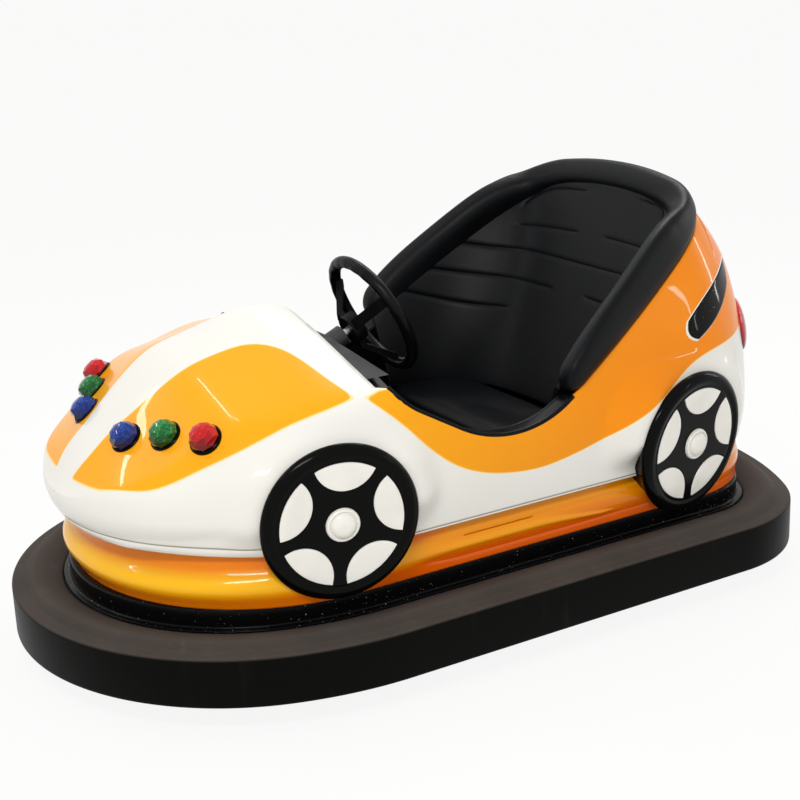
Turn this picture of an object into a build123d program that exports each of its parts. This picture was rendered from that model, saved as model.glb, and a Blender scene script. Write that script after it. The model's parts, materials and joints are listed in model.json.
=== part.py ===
"""Fairground bumper car: rubber ring, steel chassis, moulded body, padded tub and running gear.

Frame: millimetres, origin on the floor under the middle of the rubber ring, nose towards -Y,
the car's left side towards +X, +Z up.
"""

from build123d import *
import math
import os

# Rubber ring, the largest outline of the car:
# half width, nose y, tail y, straight side from y, straight side to y, nose radius, tail radius
RING = (575.0, -975.0, 975.0, -338.0, 597.0, 562.0, 868.0)
RING_BOTTOM_Z = 66.0
RING_EDGE_Z = 177.0
RING_CREST_Z = 197.0
RING_INNER_Z = 184.0
RING_THICKNESS = 118.0
RING_BAND = 26.0
RING_BAND_RISE = 2.0
RING_GROOVE = 4.0
RING_SHOULDER = 18.0
RING_CREST = 20.0
RING_HEEL = 22.0

# Chassis rim, frame and floor
RIM_WALL = 6.0
RIM_FLANGE = 30.0
RIM_FLANGE_WALL = 4.0
RIM_TOP_Z = 178.0
RAIL_X = 255.0
RAIL_SIZE = 40.0
RAIL_BOTTOM_Z = 74.0
FLOOR_TOP_Z = 118.0
FLOOR_THICKNESS = 4.0
CROSS_MEMBER_YS = (-736.0, -230.0, 150.0, 700.0)

# Black plinth between the ring and the skirt
PAN_WALL = 5.0
PAN_SHELF = 15.0
PAN_TOP_Z = 226.0
PAN_LEDGE = 22.0

# Body outlines at the belt, at the tuck and at the lower lip:
# half width, nose y, tail y, straight side from y, straight side to y, nose radius, tail radius
BELT_Z = 425.0
BELT = (459.0, -880.0, 880.0, -360.0, 540.0, 440.0, 800.0)
TUCK_Z = 380.0
TUCK = (458.0, -868.0, 877.0, -360.0, 540.0, 425.0, 790.0)
LIP = (455.0, -828.0, 864.0, -360.0, 530.0, 400.0, 780.0)
LIP_Z = 327.0
LIP_NOSE_Z = 354.0
LIP_RISE_Y = -300.0
SHELL_WALL = 25.0

# Side walls between the hood and the tail
HOOD_END_Y = -295.0
SIDE_TOP_Z = 645.0
TAIL_FRONT_Y = 170.0

# Cross-sections of the hood, from the nose back: station y, half width at the belt, ridge height,
# side radius, shoulder radius, crown radius, slope of the flat flank between them in degrees
HOOD_SECTIONS = (
    (-879.0, 40.0, 436.0, 14.0, 4.0, 120.0, 2.0),
    (-864.0, 118.0, 458.0, 30.0, 10.0, 120.0, 5.0),
    (-838.0, 188.0, 499.0, 70.0, 28.0, 130.0, 9.0),
    (-798.0, 256.0, 541.0, 130.0, 55.0, 180.0, 13.0),
    (-738.0, 324.0, 593.0, 230.0, 95.0, 250.0, 17.0),
    (-668.0, 376.0, 646.0, 340.0, 130.0, 400.0, 18.0),
    (-596.0, 412.0, 690.0, 450.0, 150.0, 500.0, 18.0),
    (-500.0, 443.0, 721.0, 600.0, 160.0, 400.0, 18.0),
    (-400.0, 458.0, 745.0, 750.0, 130.0, 380.0, 17.0),
    (-295.0, 459.0, 738.0, 850.0, 90.0, 560.0, 15.5),
)
NOSE_SOLID_COUNT = 4

# Cross-sections of the tail, from the cockpit back, in the same columns
TAIL_SECTIONS = (
    (170.0, 459.0, 985.0, 850.0, 165.0, 900.0, 12.0),
    (450.0, 459.0, 985.0, 850.0, 165.0, 900.0, 12.0),
    (560.0, 458.0, 985.0, 850.0, 165.0, 900.0, 12.0),
    (640.0, 445.0, 964.0, 810.0, 165.0, 850.0, 12.0),
    (700.0, 416.0, 912.0, 740.0, 150.0, 700.0, 12.0),
    (776.0, 355.0, 815.0, 640.0, 125.0, 550.0, 12.0),
    (808.0, 313.0, 755.0, 540.0, 100.0, 450.0, 12.0),
    (840.0, 253.0, 672.0, 400.0, 75.0, 350.0, 12.0),
    (862.0, 160.0, 580.0, 250.0, 50.0, 230.0, 10.0),
    (878.0, 60.0, 480.0, 90.0, 20.0, 80.0, 8.0),
)
TAIL_HOLLOW_COUNT = 8

# Cockpit opening, seen from the side: (y, height) of the corners and the radii that round them
SILL_FRONT_Z = 640.0
SILL_FRONT_RADIUS = 150.0
SILL_VALLEY = (25.0, 455.0)
SILL_VALLEY_RADIUS = 280.0
RISE_BEND = (655.0, 868.0)
RISE_BEND_RADIUS = 200.0
RISE_END = (735.0, 1020.0)

# Skirt below the body lip: its outline in the same columns, then (inset, height) of its outer face
SKIRT = (444.0, -826.0, 848.0, -390.0, 560.0, 600.0, 760.0)
SKIRT_WALL = 5.0
SKIRT_FOOT = 20.0
SKIRT_FACE = ((0.0, 226.0), (-3.0, 240.0), (-9.0, 262.0), (-8.0, 286.0), (2.0, 306.0), (10.0, 322.0), (10.0, 360.0))

# Decorative wheel discs: name, centre x, y and height, yaw away from the side, lean of the face
DISC_RADIUS = 173.0
DISC_RING_WIDTH = 13.0
DISC_STAR_DEPTH = 12.0
DISC_DEPTH = 92.0
DISC_SHOULDER = 8.0
WINDOW_COUNT = 5
WINDOW_PHASE = 4.5
WINDOW_REACH = 136.0
WINDOW_RADIUS = 70.6
WINDOW_CENTRE = 143.6
HUB_CAP_RADIUS = 37.0
# Hub cap: share of its radius, height above the face
HUB_CAP_PROFILE = ((0.0, 0.0), (1.0, 0.0), (1.0, 6.0), (0.84, 11.0), (0.65, 12.0), (0.49, 18.0), (0.0, 20.0))
DISCS = (
    ("front", 473.0, -435.0, 402.0, -10.0, -3.0),
    ("rear", 484.0, 503.0, 382.5, 10.5, -6.0),
)

# Nose lamps: colour, x, y of the dome's foot on the hood
LAMP_RADIUS = 31.0
LAMP_DEPTH = 26.0
LAMP_ROOT = 24.0
# Facets of a lamp's dome: share of its radius, share of its depth
LAMP_FACETS = ((1.0, 0.2), (0.87, 0.54), (0.58, 0.88))
LAMPS = (
    ("blue", 116.0, -750.0),
    ("green", 205.0, -697.0),
    ("red", 300.0, -649.0),
)

# Padded rim, seat and cockpit
RIM_PAD_WIDTH = 72.0
RIM_PAD_DEPTH = 46.0
RIM_PAD_PROUD = 12.0
RIM_PAD_SECTION_COUNT = 6
SILL_TRIM_INSET = 2.0
SILL_TRIM_WIDTH = 52.0
SILL_TRIM_DEPTH = 8.0
LINER_INSET = 40.0
LINER_WALL = 6.0
SEAT_FRONT_Y = 160.0
SEAT_BASE_Z = 330.0
SEAT_BASE_WALL = 8.0
SEAT_BASE_END_Y = 640.0
CUSHION_DEPTH = 70.0
CUSHION_OVERHANG = 4.0
LINER_END_Y = 410.0
BACK_FOOT_Y = 390.0
BACK_TOP_Y = 605.0
BACK_TOP_Z = 930.0
BACK_THICKNESS = 55.0
BACK_DROP = 8.0
BACK_HOLLOW_RADIUS = 900.0
PAD_GAP = 0.4

# Dash behind the cowl: (y, height) of its corners after the first, then the bulkhead and pedal
DASH_CORNERS = ((-262.0, 700.0), (-215.0, 640.0), (-225.0, 590.0))
DASH_TOP_Z = 716.0
DASH_FOOT_Z = 575.0
BULKHEAD_WALL = 6.0
FRONT_GAP = 0.3
PEDAL_X = 120.0
PEDAL_WIDTH = 70.0
PEDAL_WALL = 8.0
PEDAL_FOOT_Y = -150.0
PEDAL_TOP = (-240.0, 190.0)
PEDAL_STRUT_Y = -222.0
PEDAL_STRUT_WIDTH = 16.0
PEDAL_STRUT_WALL = 10.0
PEDAL_SINK = 3.0

# Quarter windows, seen from the side: (y, height) of the corners and the middles of the arcs between them
WINDOW_PROUD = 4.0
WINDOW_POINTS = ((738.0, 766.0), (523.0, 660.0), (546.0, 614.0), (716.0, 720.0))
WINDOW_UPPER = (616.0, 722.0)
WINDOW_NOSE = (518.0, 630.0)
WINDOW_LOWER = (633.0, 660.0)
WINDOW_REAR = (735.0, 744.0)
TAIL_LAMP_PROUD = 9.0
TAIL_LAMP_CENTRE = (336.0, 790.0, 590.0)
TAIL_LAMP_RADII = (34.0, 62.0)
TAIL_LAMP_HEADING = 46.0

# Steering column and wheel
STEER_RIM_CENTRE = Vector(0, -71.5, 695)
STEER_TILT = 24.4
STEER_RIM_RADIUS = 142.0
STEER_TUBE_RADIUS = 14.5
STEER_DISH = 60.0
STEER_HUB_RADIUS = 36.0
STEER_HUB_LENGTH = 30.0
STEER_SHAFT_TAIL = 14.0
STEER_SHAFT_RADIUS = 10.0
SPOKE_COUNT = 3
SPOKE_WIDTH = 26.0
SPOKE_ROOT_RADIUS = 20.0
SPOKE_ELBOW = 14.0
SPOKE_WALL = 16.0
COLUMN_RADIUS = 25.0
COLUMN_START = 92.0
COLUMN_END = 235.0
RUNNING_GAP = 0.05

# Drive unit under the nose: turntable, wheel and motor
DRIVE_Y = -520.0
TURNTABLE_RADIUS = 190.0
TURNTABLE_THICKNESS = 10.0
BEARING_LEDGE_WIDTH = 9.0
BEARING_WALL = 23.0
TURNTABLE_GAP = 2.0
BEARING_HEIGHT = 22.0
LEDGE_HEIGHT = 6.0
DRIVE_WHEEL_RADIUS = 115.0
DRIVE_WHEEL_WIDTH = 70.0
DRIVE_HUB_RADIUS = 70.0
DRIVE_AXLE_RADIUS = 10.0
FORK_GAP = 9.0
FORK_WALL = 8.0
FORK_LENGTH = 90.0
FORK_BOTTOM_Z = 85.0
FORK_TOP_Z = 180.0
AXLE_STUB = 6.0
MOTOR_RADIUS = 45.0
MOTOR_LENGTH = 105.0
MOTOR_PLATE_WALL = 6.0
MOTOR_PLATE_LENGTH = 80.0
MOTOR_PLATE_TOP_Z = 225.0
MOTOR_FOOT_LENGTH = 84.0
MOTOR_FOOT_WIDTH = 44.0

# Wheels that turn: corner of the tyre, wall round the bore, wall under the tyre, share of the web
TYRE_SHOULDER = 8.0
BORE_WALL = 12.0
HUB_RIM_WALL = 9.0
WEB_SHARE = 0.45

# Rear running gear
REAR_WHEEL_X = 330.0
REAR_WHEEL_Y = 480.0
REAR_WHEEL_RADIUS = 100.0
REAR_WHEEL_WIDTH = 50.0
REAR_HUB_RADIUS = 60.0
REAR_AXLE_RADIUS = 12.5
COLLAR_RADIUS = 20.0
COLLAR_WIDTH = 8.0
COLLAR_GAP = 0.3
TUB_CLEARANCE = 9.0
TUB_WALL = 3.0

# Battery under the seat
BATTERY_SIZE = (340.0, 240.0, 200.0)
BATTERY_Y = 305.0

# A space that holds the whole car: half width, half length and height
SPACE_X = 1.3 * RING[0]
SPACE_Y = 1.2 * RING[2]
SPACE_Z = 1.4 * TAIL_SECTIONS[0][2]


class Plan:
    """Closed outline of straight sides, with a corner arc and a tip arc at each end, all tangent."""

    def __init__(self, half_width, nose_y, tail_y, nose_start, tail_start, nose_radius, tail_radius):
        self.half_width = half_width
        self.starts = {-1: nose_start, 1: tail_start}
        self.tips = {-1: nose_y, 1: tail_y}
        self.radii = {-1: nose_radius, 1: tail_radius}

    def corner_radius(self, end):
        """Radius of the arc that joins the straight side to the tip arc."""
        depth = abs(self.tips[end] - self.starts[end])
        tip = self.radii[end]
        width = self.half_width
        return (2 * depth * tip - depth**2 - width**2) / (2 * (tip - width))

    def centres(self, end):
        """Centre of the tip arc, and of the corner arc on the +X side."""
        tip_centre = Vector(0, self.tips[end] - end * self.radii[end])
        corner_centre = Vector(self.half_width - self.corner_radius(end), self.starts[end])
        return tip_centre, corner_centre

    def joint_angle(self, end):
        """Angle from +X, in degrees, of the point where corner and tip arcs meet."""
        tip_centre, corner_centre = self.centres(end)
        line = corner_centre - tip_centre
        if self.corner_radius(end) > self.radii[end]:
            line = line * -1
        return math.degrees(math.atan2(line.Y, line.X))

    def segments(self):
        """The outline counter-clockwise: (centre or None, radius, start angle, sweep) or a straight."""
        rows = []
        nose, tail = self.joint_angle(-1), self.joint_angle(1)
        nose_tip, nose_corner = self.centres(-1)
        tail_tip, tail_corner = self.centres(1)
        mirror = Vector(-1, 1)
        rows.append((None, self.half_width, 0.0, self.starts[1] - self.starts[-1]))
        rows.append((tail_corner, self.corner_radius(1), 0.0, tail))
        rows.append((tail_tip, self.radii[1], tail, 180 - 2 * tail))
        rows.append((Vector(-tail_corner.X, tail_corner.Y), self.corner_radius(1), 180 - tail, tail))
        rows.append((None, self.half_width, 180.0, self.starts[1] - self.starts[-1]))
        rows.append((Vector(-nose_corner.X, nose_corner.Y), self.corner_radius(-1), 180.0, -nose))
        rows.append((nose_tip, self.radii[-1], 180 - nose, 180 + 2 * nose))
        rows.append((nose_corner, self.corner_radius(-1), nose, -nose))
        return rows

    def wire(self, z, inset=0.0):
        """The outline at height z, drawn in by inset."""
        edges = []
        for centre, radius, start, sweep in self.segments():
            reach = radius - inset
            if centre is None:
                side = 1 if start == 0 else -1
                first = (side * reach, self.starts[-side], z)
                last = (side * reach, self.starts[side], z)
                edges.append(Edge.make_line(first, last))
                continue
            points = []
            for share in (0.0, 0.5, 1.0):
                angle = math.radians(start + sweep * share)
                points.append((centre.X + reach * math.cos(angle), centre.Y + reach * math.sin(angle), z))
            edges.append(Edge.make_three_point_arc(*points))
        return Wire(edges)

    def band(self, profile):
        """Solid whose (inset, height) section is carried all the way round the outline."""
        pieces = []
        for centre, radius, start, sweep in self.segments():
            angle = math.radians(start)
            outward = Vector(math.cos(angle), math.sin(angle))
            along = Vector(-outward.Y, outward.X)
            if centre is None:
                side = 1 if start == 0 else -1
                foot = Vector(side * radius, self.starts[-side])
            else:
                foot = centre + outward * radius
            place = Plane(origin=foot, x_dir=outward * -1, z_dir=along)
            face = place.location * profile
            if centre is None:
                pieces.append(extrude(face, amount=sweep, dir=along))
            else:
                pieces.append(revolve(face, Axis(centre, (0, 0, 1)), revolution_arc=sweep))
        solid = pieces[0]
        for piece in pieces[1:]:
            solid = solid + piece
        return solid


def polygon(*points):
    """Flat face through (x, y) points in the sketch plane."""
    return make_face(Polyline(*points, close=True))


def prism_across(points, half_width):
    """Solid of constant (y, z) section, centred on x = 0."""
    outline = Wire(Polyline(*[(0, y, z) for y, z in points], close=True).edges())
    return extrude(Face(outline), amount=half_width, dir=(1, 0, 0), both=True)


def plate(x0, x1, y0, y1, z0, z1):
    """Block between two corners."""
    middle = ((x0 + x1) / 2, (y0 + y1) / 2, (z0 + z1) / 2)
    return Pos(*middle) * Box(abs(x1 - x0), abs(y1 - y0), abs(z1 - z0))


def section_arch(y, half_width, top, side_radius, shoulder_radius, crown_radius, flank, inset=0.0):
    """Arched edges across the body: side arc, shoulder arc, flat flank and crown arc, all tangent, and back."""
    slope = math.radians(flank)
    side_centre = Vector(half_width - side_radius, BELT_Z)
    crown_centre = Vector(0, top - crown_radius)
    normal = Vector(math.sin(slope), math.cos(slope))
    down = Vector(math.cos(slope), -math.sin(slope))
    start = crown_centre + normal * (crown_radius - shoulder_radius) - side_centre
    near = side_radius - shoulder_radius
    along = start.dot(down)
    run = -along + math.sqrt(along**2 - start.length**2 + near**2)
    shoulder_centre = side_centre + start + down * run
    offset = shoulder_centre - side_centre
    side_angle = math.atan2(offset.Y, offset.X)
    flank_angle = math.pi / 2 - slope
    rows = (
        (side_centre, side_radius, 0.0, side_angle),
        (shoulder_centre, shoulder_radius, side_angle, flank_angle),
        (crown_centre, crown_radius, flank_angle, math.pi - flank_angle),
    )
    arcs = []
    for centre, radius, first, last in rows:
        reach = radius - inset
        points = []
        for share in (0.0, 0.5, 1.0):
            angle = first + (last - first) * share
            points.append(Vector(centre.X + reach * math.cos(angle), y, centre.Y + reach * math.sin(angle)))
        arcs.append(points)
    side, shoulder, crown = arcs
    right = [[Vector(-point.X, point.Y, point.Z) for point in reversed(points)] for points in (shoulder, side)]
    return [
        Edge.make_three_point_arc(*side),
        Edge.make_three_point_arc(*shoulder),
        Edge.make_line(shoulder[2], crown[0]),
        Edge.make_three_point_arc(*crown),
        Edge.make_line(crown[2], right[0][0]),
        Edge.make_three_point_arc(*right[0]),
        Edge.make_three_point_arc(*right[1]),
    ]


def body_section(*row):
    """Closed wire of a section's arch and the line across its foot."""
    arch = section_arch(*row)
    return Wire(arch + [Edge.make_line(arch[-1] @ 1, arch[0] @ 0)])


def tunnel_section(row, wall):
    """Closed wire of a section's arch and the same arch drawn in by a wall."""
    outer, inner = section_arch(*row), section_arch(*row, wall)
    first = Edge.make_line(outer[0] @ 0, inner[0] @ 0)
    last = Edge.make_line(outer[-1] @ 1, inner[-1] @ 1)
    return Wire(outer + [last] + inner + [first])


def tunnel(sections, wall):
    """Arched wall carried through the sections."""
    return Solid.make_loft([tunnel_section(row, wall) for row in sections], ruled=True)


def form(sections, inset=0.0):
    """Solid body form above the belt, drawn in by inset."""
    return Solid.make_loft([body_section(*row, inset) for row in sections], ruled=True)


def shifted(rows, inset):
    """Sections with the outline moved in, or out where the inset is negative."""
    return tuple((y, w - inset, top - inset, s - inset, r - inset, c - inset, a) for y, w, top, s, r, c, a in rows)


def side_strip(section, y0, y1, inset, wall, bottom, top):
    """Both side walls of a strip of the body with one section, between two stations and two heights."""
    row = (y0,) + shifted([section], inset)[0][1:]
    arch = extrude(Face(tunnel_section(row, wall)), amount=y1 - y0, dir=(0, 1, 0))
    strip = arch & plate(-SPACE_X, SPACE_X, y0, y1, BELT_Z, top)
    if bottom < BELT_Z:
        outer = section[1] - inset
        foot = plate(outer - wall, outer, y0, y1, bottom, BELT_Z)
        strip = strip + foot + mirror(foot, Plane.YZ)
    return strip


def side_face(shift_y=0.0, shift_z=0.0):
    """What the cockpit opening takes away, seen from the side, as a face at x = 0."""
    with BuildLine() as line:
        FilletPolyline((HOOD_END_Y, SPACE_Z), (HOOD_END_Y, SILL_FRONT_Z), SILL_VALLEY, RISE_BEND, RISE_END,
                       radius=(SILL_FRONT_RADIUS, SILL_VALLEY_RADIUS, RISE_BEND_RADIUS))
        Polyline(RISE_END, (RISE_END[0], SPACE_Z), (HOOD_END_Y, SPACE_Z))
    place = Plane(origin=(0, shift_y, shift_z), x_dir=(0, 1, 0), z_dir=(1, 0, 0))
    return place.location * make_face(line.line)


def opening(shift_y=0.0, shift_z=0.0):
    """Solid above the cockpit's side curve, across the whole car."""
    return extrude(side_face(shift_y, shift_z), amount=SPACE_X, dir=(1, 0, 0), both=True)


def lip_cutter():
    """Solid under the body's lower lip, which rises towards the nose."""
    nose = -SPACE_Y
    slope = (LIP_NOSE_Z - LIP_Z) / (LIP[1] - LIP_RISE_Y)
    nose_z = LIP_Z + slope * (nose - LIP_RISE_Y)
    rows = [(nose, nose_z), (LIP_RISE_Y, LIP_Z), (SPACE_Y, LIP_Z), (SPACE_Y, 0), (nose, 0)]
    return prism_across(rows, SPACE_X)


def outline_solid(columns, bottom, top, inset=0.0):
    """Solid that fills a plan outline between two heights."""
    face = Face(Plan(*columns).wire(bottom, inset))
    return extrude(face, amount=top - bottom, dir=(0, 0, 1))


def ring_parts():
    """Rubber ring, the steel rim that holds it and the black plinth above."""
    plan = Plan(*RING)
    thick = RING_THICKNESS
    outer = RING_BAND + RING_GROOVE
    crest = outer + RING_SHOULDER
    rubber = polygon((0, RING_BOTTOM_Z), (0, RING_EDGE_Z), (RING_BAND, RING_EDGE_Z + RING_BAND_RISE),
                     (outer, (RING_EDGE_Z + RING_INNER_Z + RING_BAND_RISE) / 2), (crest, RING_CREST_Z),
                     (crest + RING_CREST, RING_CREST_Z), (thick - RING_HEEL, RING_INNER_Z + RING_GROOVE),
                     (thick, RIM_TOP_Z), (thick, RING_BOTTOM_Z))
    rim_low = RING_BOTTOM_Z - RIM_FLANGE_WALL
    rim = polygon((thick - RIM_FLANGE, rim_low), (thick + RIM_WALL, rim_low),
                  (thick + RIM_WALL, RIM_TOP_Z), (thick, RIM_TOP_Z), (thick, RING_BOTTOM_Z),
                  (thick - RIM_FLANGE, RING_BOTTOM_Z))
    wall_out = thick + PAN_SHELF
    wall_in = wall_out + PAN_WALL
    pan = polygon((thick, RIM_TOP_Z), (wall_in, RIM_TOP_Z), (wall_in, PAN_TOP_Z - PAN_WALL),
                  (wall_out + PAN_LEDGE, PAN_TOP_Z - PAN_WALL), (wall_out + PAN_LEDGE, PAN_TOP_Z),
                  (wall_out, PAN_TOP_Z), (wall_out, RIM_TOP_Z + PAN_WALL), (thick, RIM_TOP_Z + PAN_WALL))
    return {"rubber_bumper": plan.band(rubber), "chassis_rim": plan.band(rim), "base_pan": plan.band(pan)}


def skirt():
    """Orange skirt between the plinth and the body's lip."""
    outer = list(SKIRT_FACE)
    inner = [(inset + SKIRT_WALL, z) for inset, z in reversed(SKIRT_FACE[1:])]
    foot = [(SKIRT_WALL, SKIRT_FACE[0][1] + SKIRT_WALL), (SKIRT_FOOT, SKIRT_FACE[0][1] + SKIRT_WALL),
            (SKIRT_FOOT, SKIRT_FACE[0][1])]
    whole = Plan(*SKIRT).band(polygon(*(outer + inner + foot)))
    return whole & lip_cutter()


def lower_body():
    """White band between the lip and the belt, all round."""
    rows = ((LIP, LIP_Z), (TUCK, TUCK_Z), (BELT, BELT_Z))
    outer, inner = (Solid.make_loft([Plan(*row).wire(z, inset) for row, z in rows], ruled=True)
                    for inset in (0.0, SHELL_WALL))
    return outer - inner - lip_cutter(), outer


def body_panels():
    """Hood, two door panels and tail, each with its part of the band below the belt."""
    band, band_form = lower_body()
    hood = tunnel(HOOD_SECTIONS[NOSE_SOLID_COUNT:], SHELL_WALL)
    nose = form(HOOD_SECTIONS[:NOSE_SOLID_COUNT + 1])
    sides = side_strip(HOOD_SECTIONS[-1], HOOD_END_Y, TAIL_FRONT_Y, 0.0, SHELL_WALL, BELT_Z, SIDE_TOP_Z)
    tail = tunnel(TAIL_SECTIONS[:TAIL_HOLLOW_COUNT], SHELL_WALL)
    end = form(TAIL_SECTIONS[TAIL_HOLLOW_COUNT - 1:])
    cut = opening()
    front_zone = plate(-SPACE_X, SPACE_X, -SPACE_Y, HOOD_END_Y, 0, SPACE_Z)
    door_zone = plate(0, SPACE_X, HOOD_END_Y, TAIL_FRONT_Y, 0, SPACE_Z)
    tail_zone = plate(-SPACE_X, SPACE_X, TAIL_FRONT_Y, SPACE_Y, 0, SPACE_Z)
    doors = sides - cut
    left = (doors & door_zone) + (band & door_zone)
    return {
        "body_front": hood + nose + (band & front_zone),
        "body_side_left": left,
        "body_side_right": mirror(left, Plane.YZ),
        "body_tail": (tail - cut) + end + (band & tail_zone),
    }, band_form


def wheel_disc(x, y, z, yaw, lean, envelope):
    """Left-hand decorative disc: black star with its ring, white plate behind it and hub cap."""
    place = Location((x, y, z), (0, 0, yaw)) * Location((0, 0, 0), (0, 90 - lean, 0))
    back = DISC_STAR_DEPTH - DISC_DEPTH
    star = extrude(Circle(DISC_RADIUS), amount=-DISC_STAR_DEPTH)
    star = fillet(star.edges().sort_by(Axis.Z)[-1], DISC_SHOULDER)
    for index in range(WINDOW_COUNT):
        angle = math.radians(180 - WINDOW_PHASE + index * 360 / WINDOW_COUNT)
        eye = Pos(WINDOW_CENTRE * math.cos(angle), WINDOW_CENTRE * math.sin(angle)) * Circle(WINDOW_RADIUS)
        star -= extrude(eye & Circle(WINDOW_REACH), amount=-DISC_STAR_DEPTH)
    plate_radius = DISC_RADIUS - DISC_RING_WIDTH
    band = Circle(DISC_RADIUS) - Circle(plate_radius)
    star += extrude(Pos(0, 0, -DISC_STAR_DEPTH) * band, amount=back)
    panel = extrude(Pos(0, 0, -DISC_STAR_DEPTH) * Circle(plate_radius), amount=back)
    cap_profile = polygon(*[(HUB_CAP_RADIUS * share, height) for share, height in HUB_CAP_PROFILE])
    cap = revolve(Plane.XZ.location * cap_profile, Axis.Z)
    pieces = [place * piece for piece in (star, panel, cap)]
    for cutter in envelope:
        pieces = [piece - cutter for piece in pieces[:2]] + pieces[2:]
    return [max(piece.solids(), key=lambda solid: solid.volume) for piece in pieces]


def disc_parts(envelope):
    """All decorative discs, with both sides' white plates and hub caps as one node each."""
    parts, plates, caps = {}, [], []
    for name, *row in DISCS:
        star, panel, cap = wheel_disc(*row, envelope)
        parts["wheel_disc_" + name + "_left"] = star
        parts["wheel_disc_" + name + "_right"] = mirror(star, Plane.YZ)
        plates += [panel, mirror(panel, Plane.YZ)]
        caps += [cap, mirror(cap, Plane.YZ)]
    parts["wheel_plates"] = Compound(children=[piece for piece in plates])
    parts["hub_caps"] = Compound(children=[piece for piece in caps])
    return parts


def chassis():
    """Welded frame, floor plate with its wheel tubs, bearing ring and rear axle."""
    inside = outline_solid(RING, 0, SPACE_Z, RING_THICKNESS + RIM_WALL)
    rail_top = RAIL_BOTTOM_Z + RAIL_SIZE
    half = RAIL_SIZE / 2
    first, *others = CROSS_MEMBER_YS
    frame = plate(-SPACE_X, SPACE_X, first - half, first + half, RAIL_BOTTOM_Z, rail_top)
    for y in others:
        frame += plate(-SPACE_X, SPACE_X, y - half, y + half, RAIL_BOTTOM_Z, rail_top)
    for side in (-1, 1):
        frame += plate(side * RAIL_X - half, side * RAIL_X + half, CROSS_MEMBER_YS[0], CROSS_MEMBER_YS[-1],
                       RAIL_BOTTOM_Z, rail_top)
    frame = frame & inside
    axle_place = Pos(0, REAR_WHEEL_Y, REAR_WHEEL_RADIUS) * Rot(0, 90, 0)
    reach = REAR_WHEEL_X + REAR_WHEEL_WIDTH / 2
    inner_reach = REAR_WHEEL_X - REAR_WHEEL_WIDTH / 2
    axle = axle_place * Cylinder(REAR_AXLE_RADIUS, 2 * (reach + COLLAR_WIDTH))
    for side in (-1, 1):
        for near in (inner_reach - COLLAR_GAP - COLLAR_WIDTH, reach + COLLAR_GAP):
            middle = side * (near + COLLAR_WIDTH / 2)
            axle += Pos(middle, REAR_WHEEL_Y, REAR_WHEEL_RADIUS) * Rot(0, 90, 0) * Cylinder(
                COLLAR_RADIUS, COLLAR_WIDTH)
    frame -= axle_place * Cylinder(REAR_AXLE_RADIUS, SPACE_X)
    floor_z = FLOOR_TOP_Z - FLOOR_THICKNESS
    floor = outline_solid(RING, floor_z, FLOOR_TOP_Z, RING_THICKNESS + RIM_WALL)
    ledge = TURNTABLE_RADIUS - BEARING_LEDGE_WIDTH
    floor -= Pos(0, DRIVE_Y, FLOOR_TOP_Z) * Cylinder(ledge + FLOOR_THICKNESS, RAIL_SIZE)
    tub_x = REAR_WHEEL_WIDTH / 2 + TUB_CLEARANCE
    tub_y = REAR_WHEEL_RADIUS + TUB_CLEARANCE
    tub_top = 2 * REAR_WHEEL_RADIUS + TUB_CLEARANCE
    for side in (-1, 1):
        x, y, wall = side * REAR_WHEEL_X, REAR_WHEEL_Y, TUB_WALL
        floor += plate(x - tub_x - wall, x + tub_x + wall, y - tub_y - wall, y + tub_y + wall,
                       floor_z, tub_top + wall)
        floor -= plate(x - tub_x, x + tub_x, y - tub_y, y + tub_y, 0, tub_top)
    inner = TURNTABLE_RADIUS + TURNTABLE_GAP
    outer = inner + BEARING_WALL
    ring_profile = make_face(Polyline((ledge, 0), (outer, 0), (outer, BEARING_HEIGHT),
                                      (inner, BEARING_HEIGHT), (inner, LEDGE_HEIGHT), (ledge, LEDGE_HEIGHT),
                                      close=True))
    bearing = Pos(0, DRIVE_Y, FLOOR_TOP_Z) * revolve(Plane.XZ.location * ring_profile, Axis.Z)
    return {"chassis_frame": frame, "floor_plate": floor, "rear_axle": axle, "turntable_ring": bearing}


def rolling_wheel(radius, width, hub_radius, bore, name, x, y):
    """Tyre and hub that turn about an axle along X."""
    place = Pos(x, y, radius) * Rot(0, 90, 0)
    half = width / 2
    tyre_profile = polygon((hub_radius, -half), (radius - TYRE_SHOULDER, -half), (radius, -half + TYRE_SHOULDER),
                           (radius, half - TYRE_SHOULDER), (radius - TYRE_SHOULDER, half), (hub_radius, half))
    web = half * WEB_SHARE
    boss = bore + BORE_WALL
    inner = hub_radius - HUB_RIM_WALL
    hub_profile = polygon((bore, -half), (boss, -half), (boss, -web), (inner, -web), (inner, -half),
                          (hub_radius, -half), (hub_radius, half), (inner, half), (inner, web), (boss, web),
                          (boss, half), (bore, half))
    return {
        name + "_tyre": place * revolve(Plane.XZ.location * tyre_profile, Axis.Z),
        name + "_hub": place * revolve(Plane.XZ.location * hub_profile, Axis.Z),
    }


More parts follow.
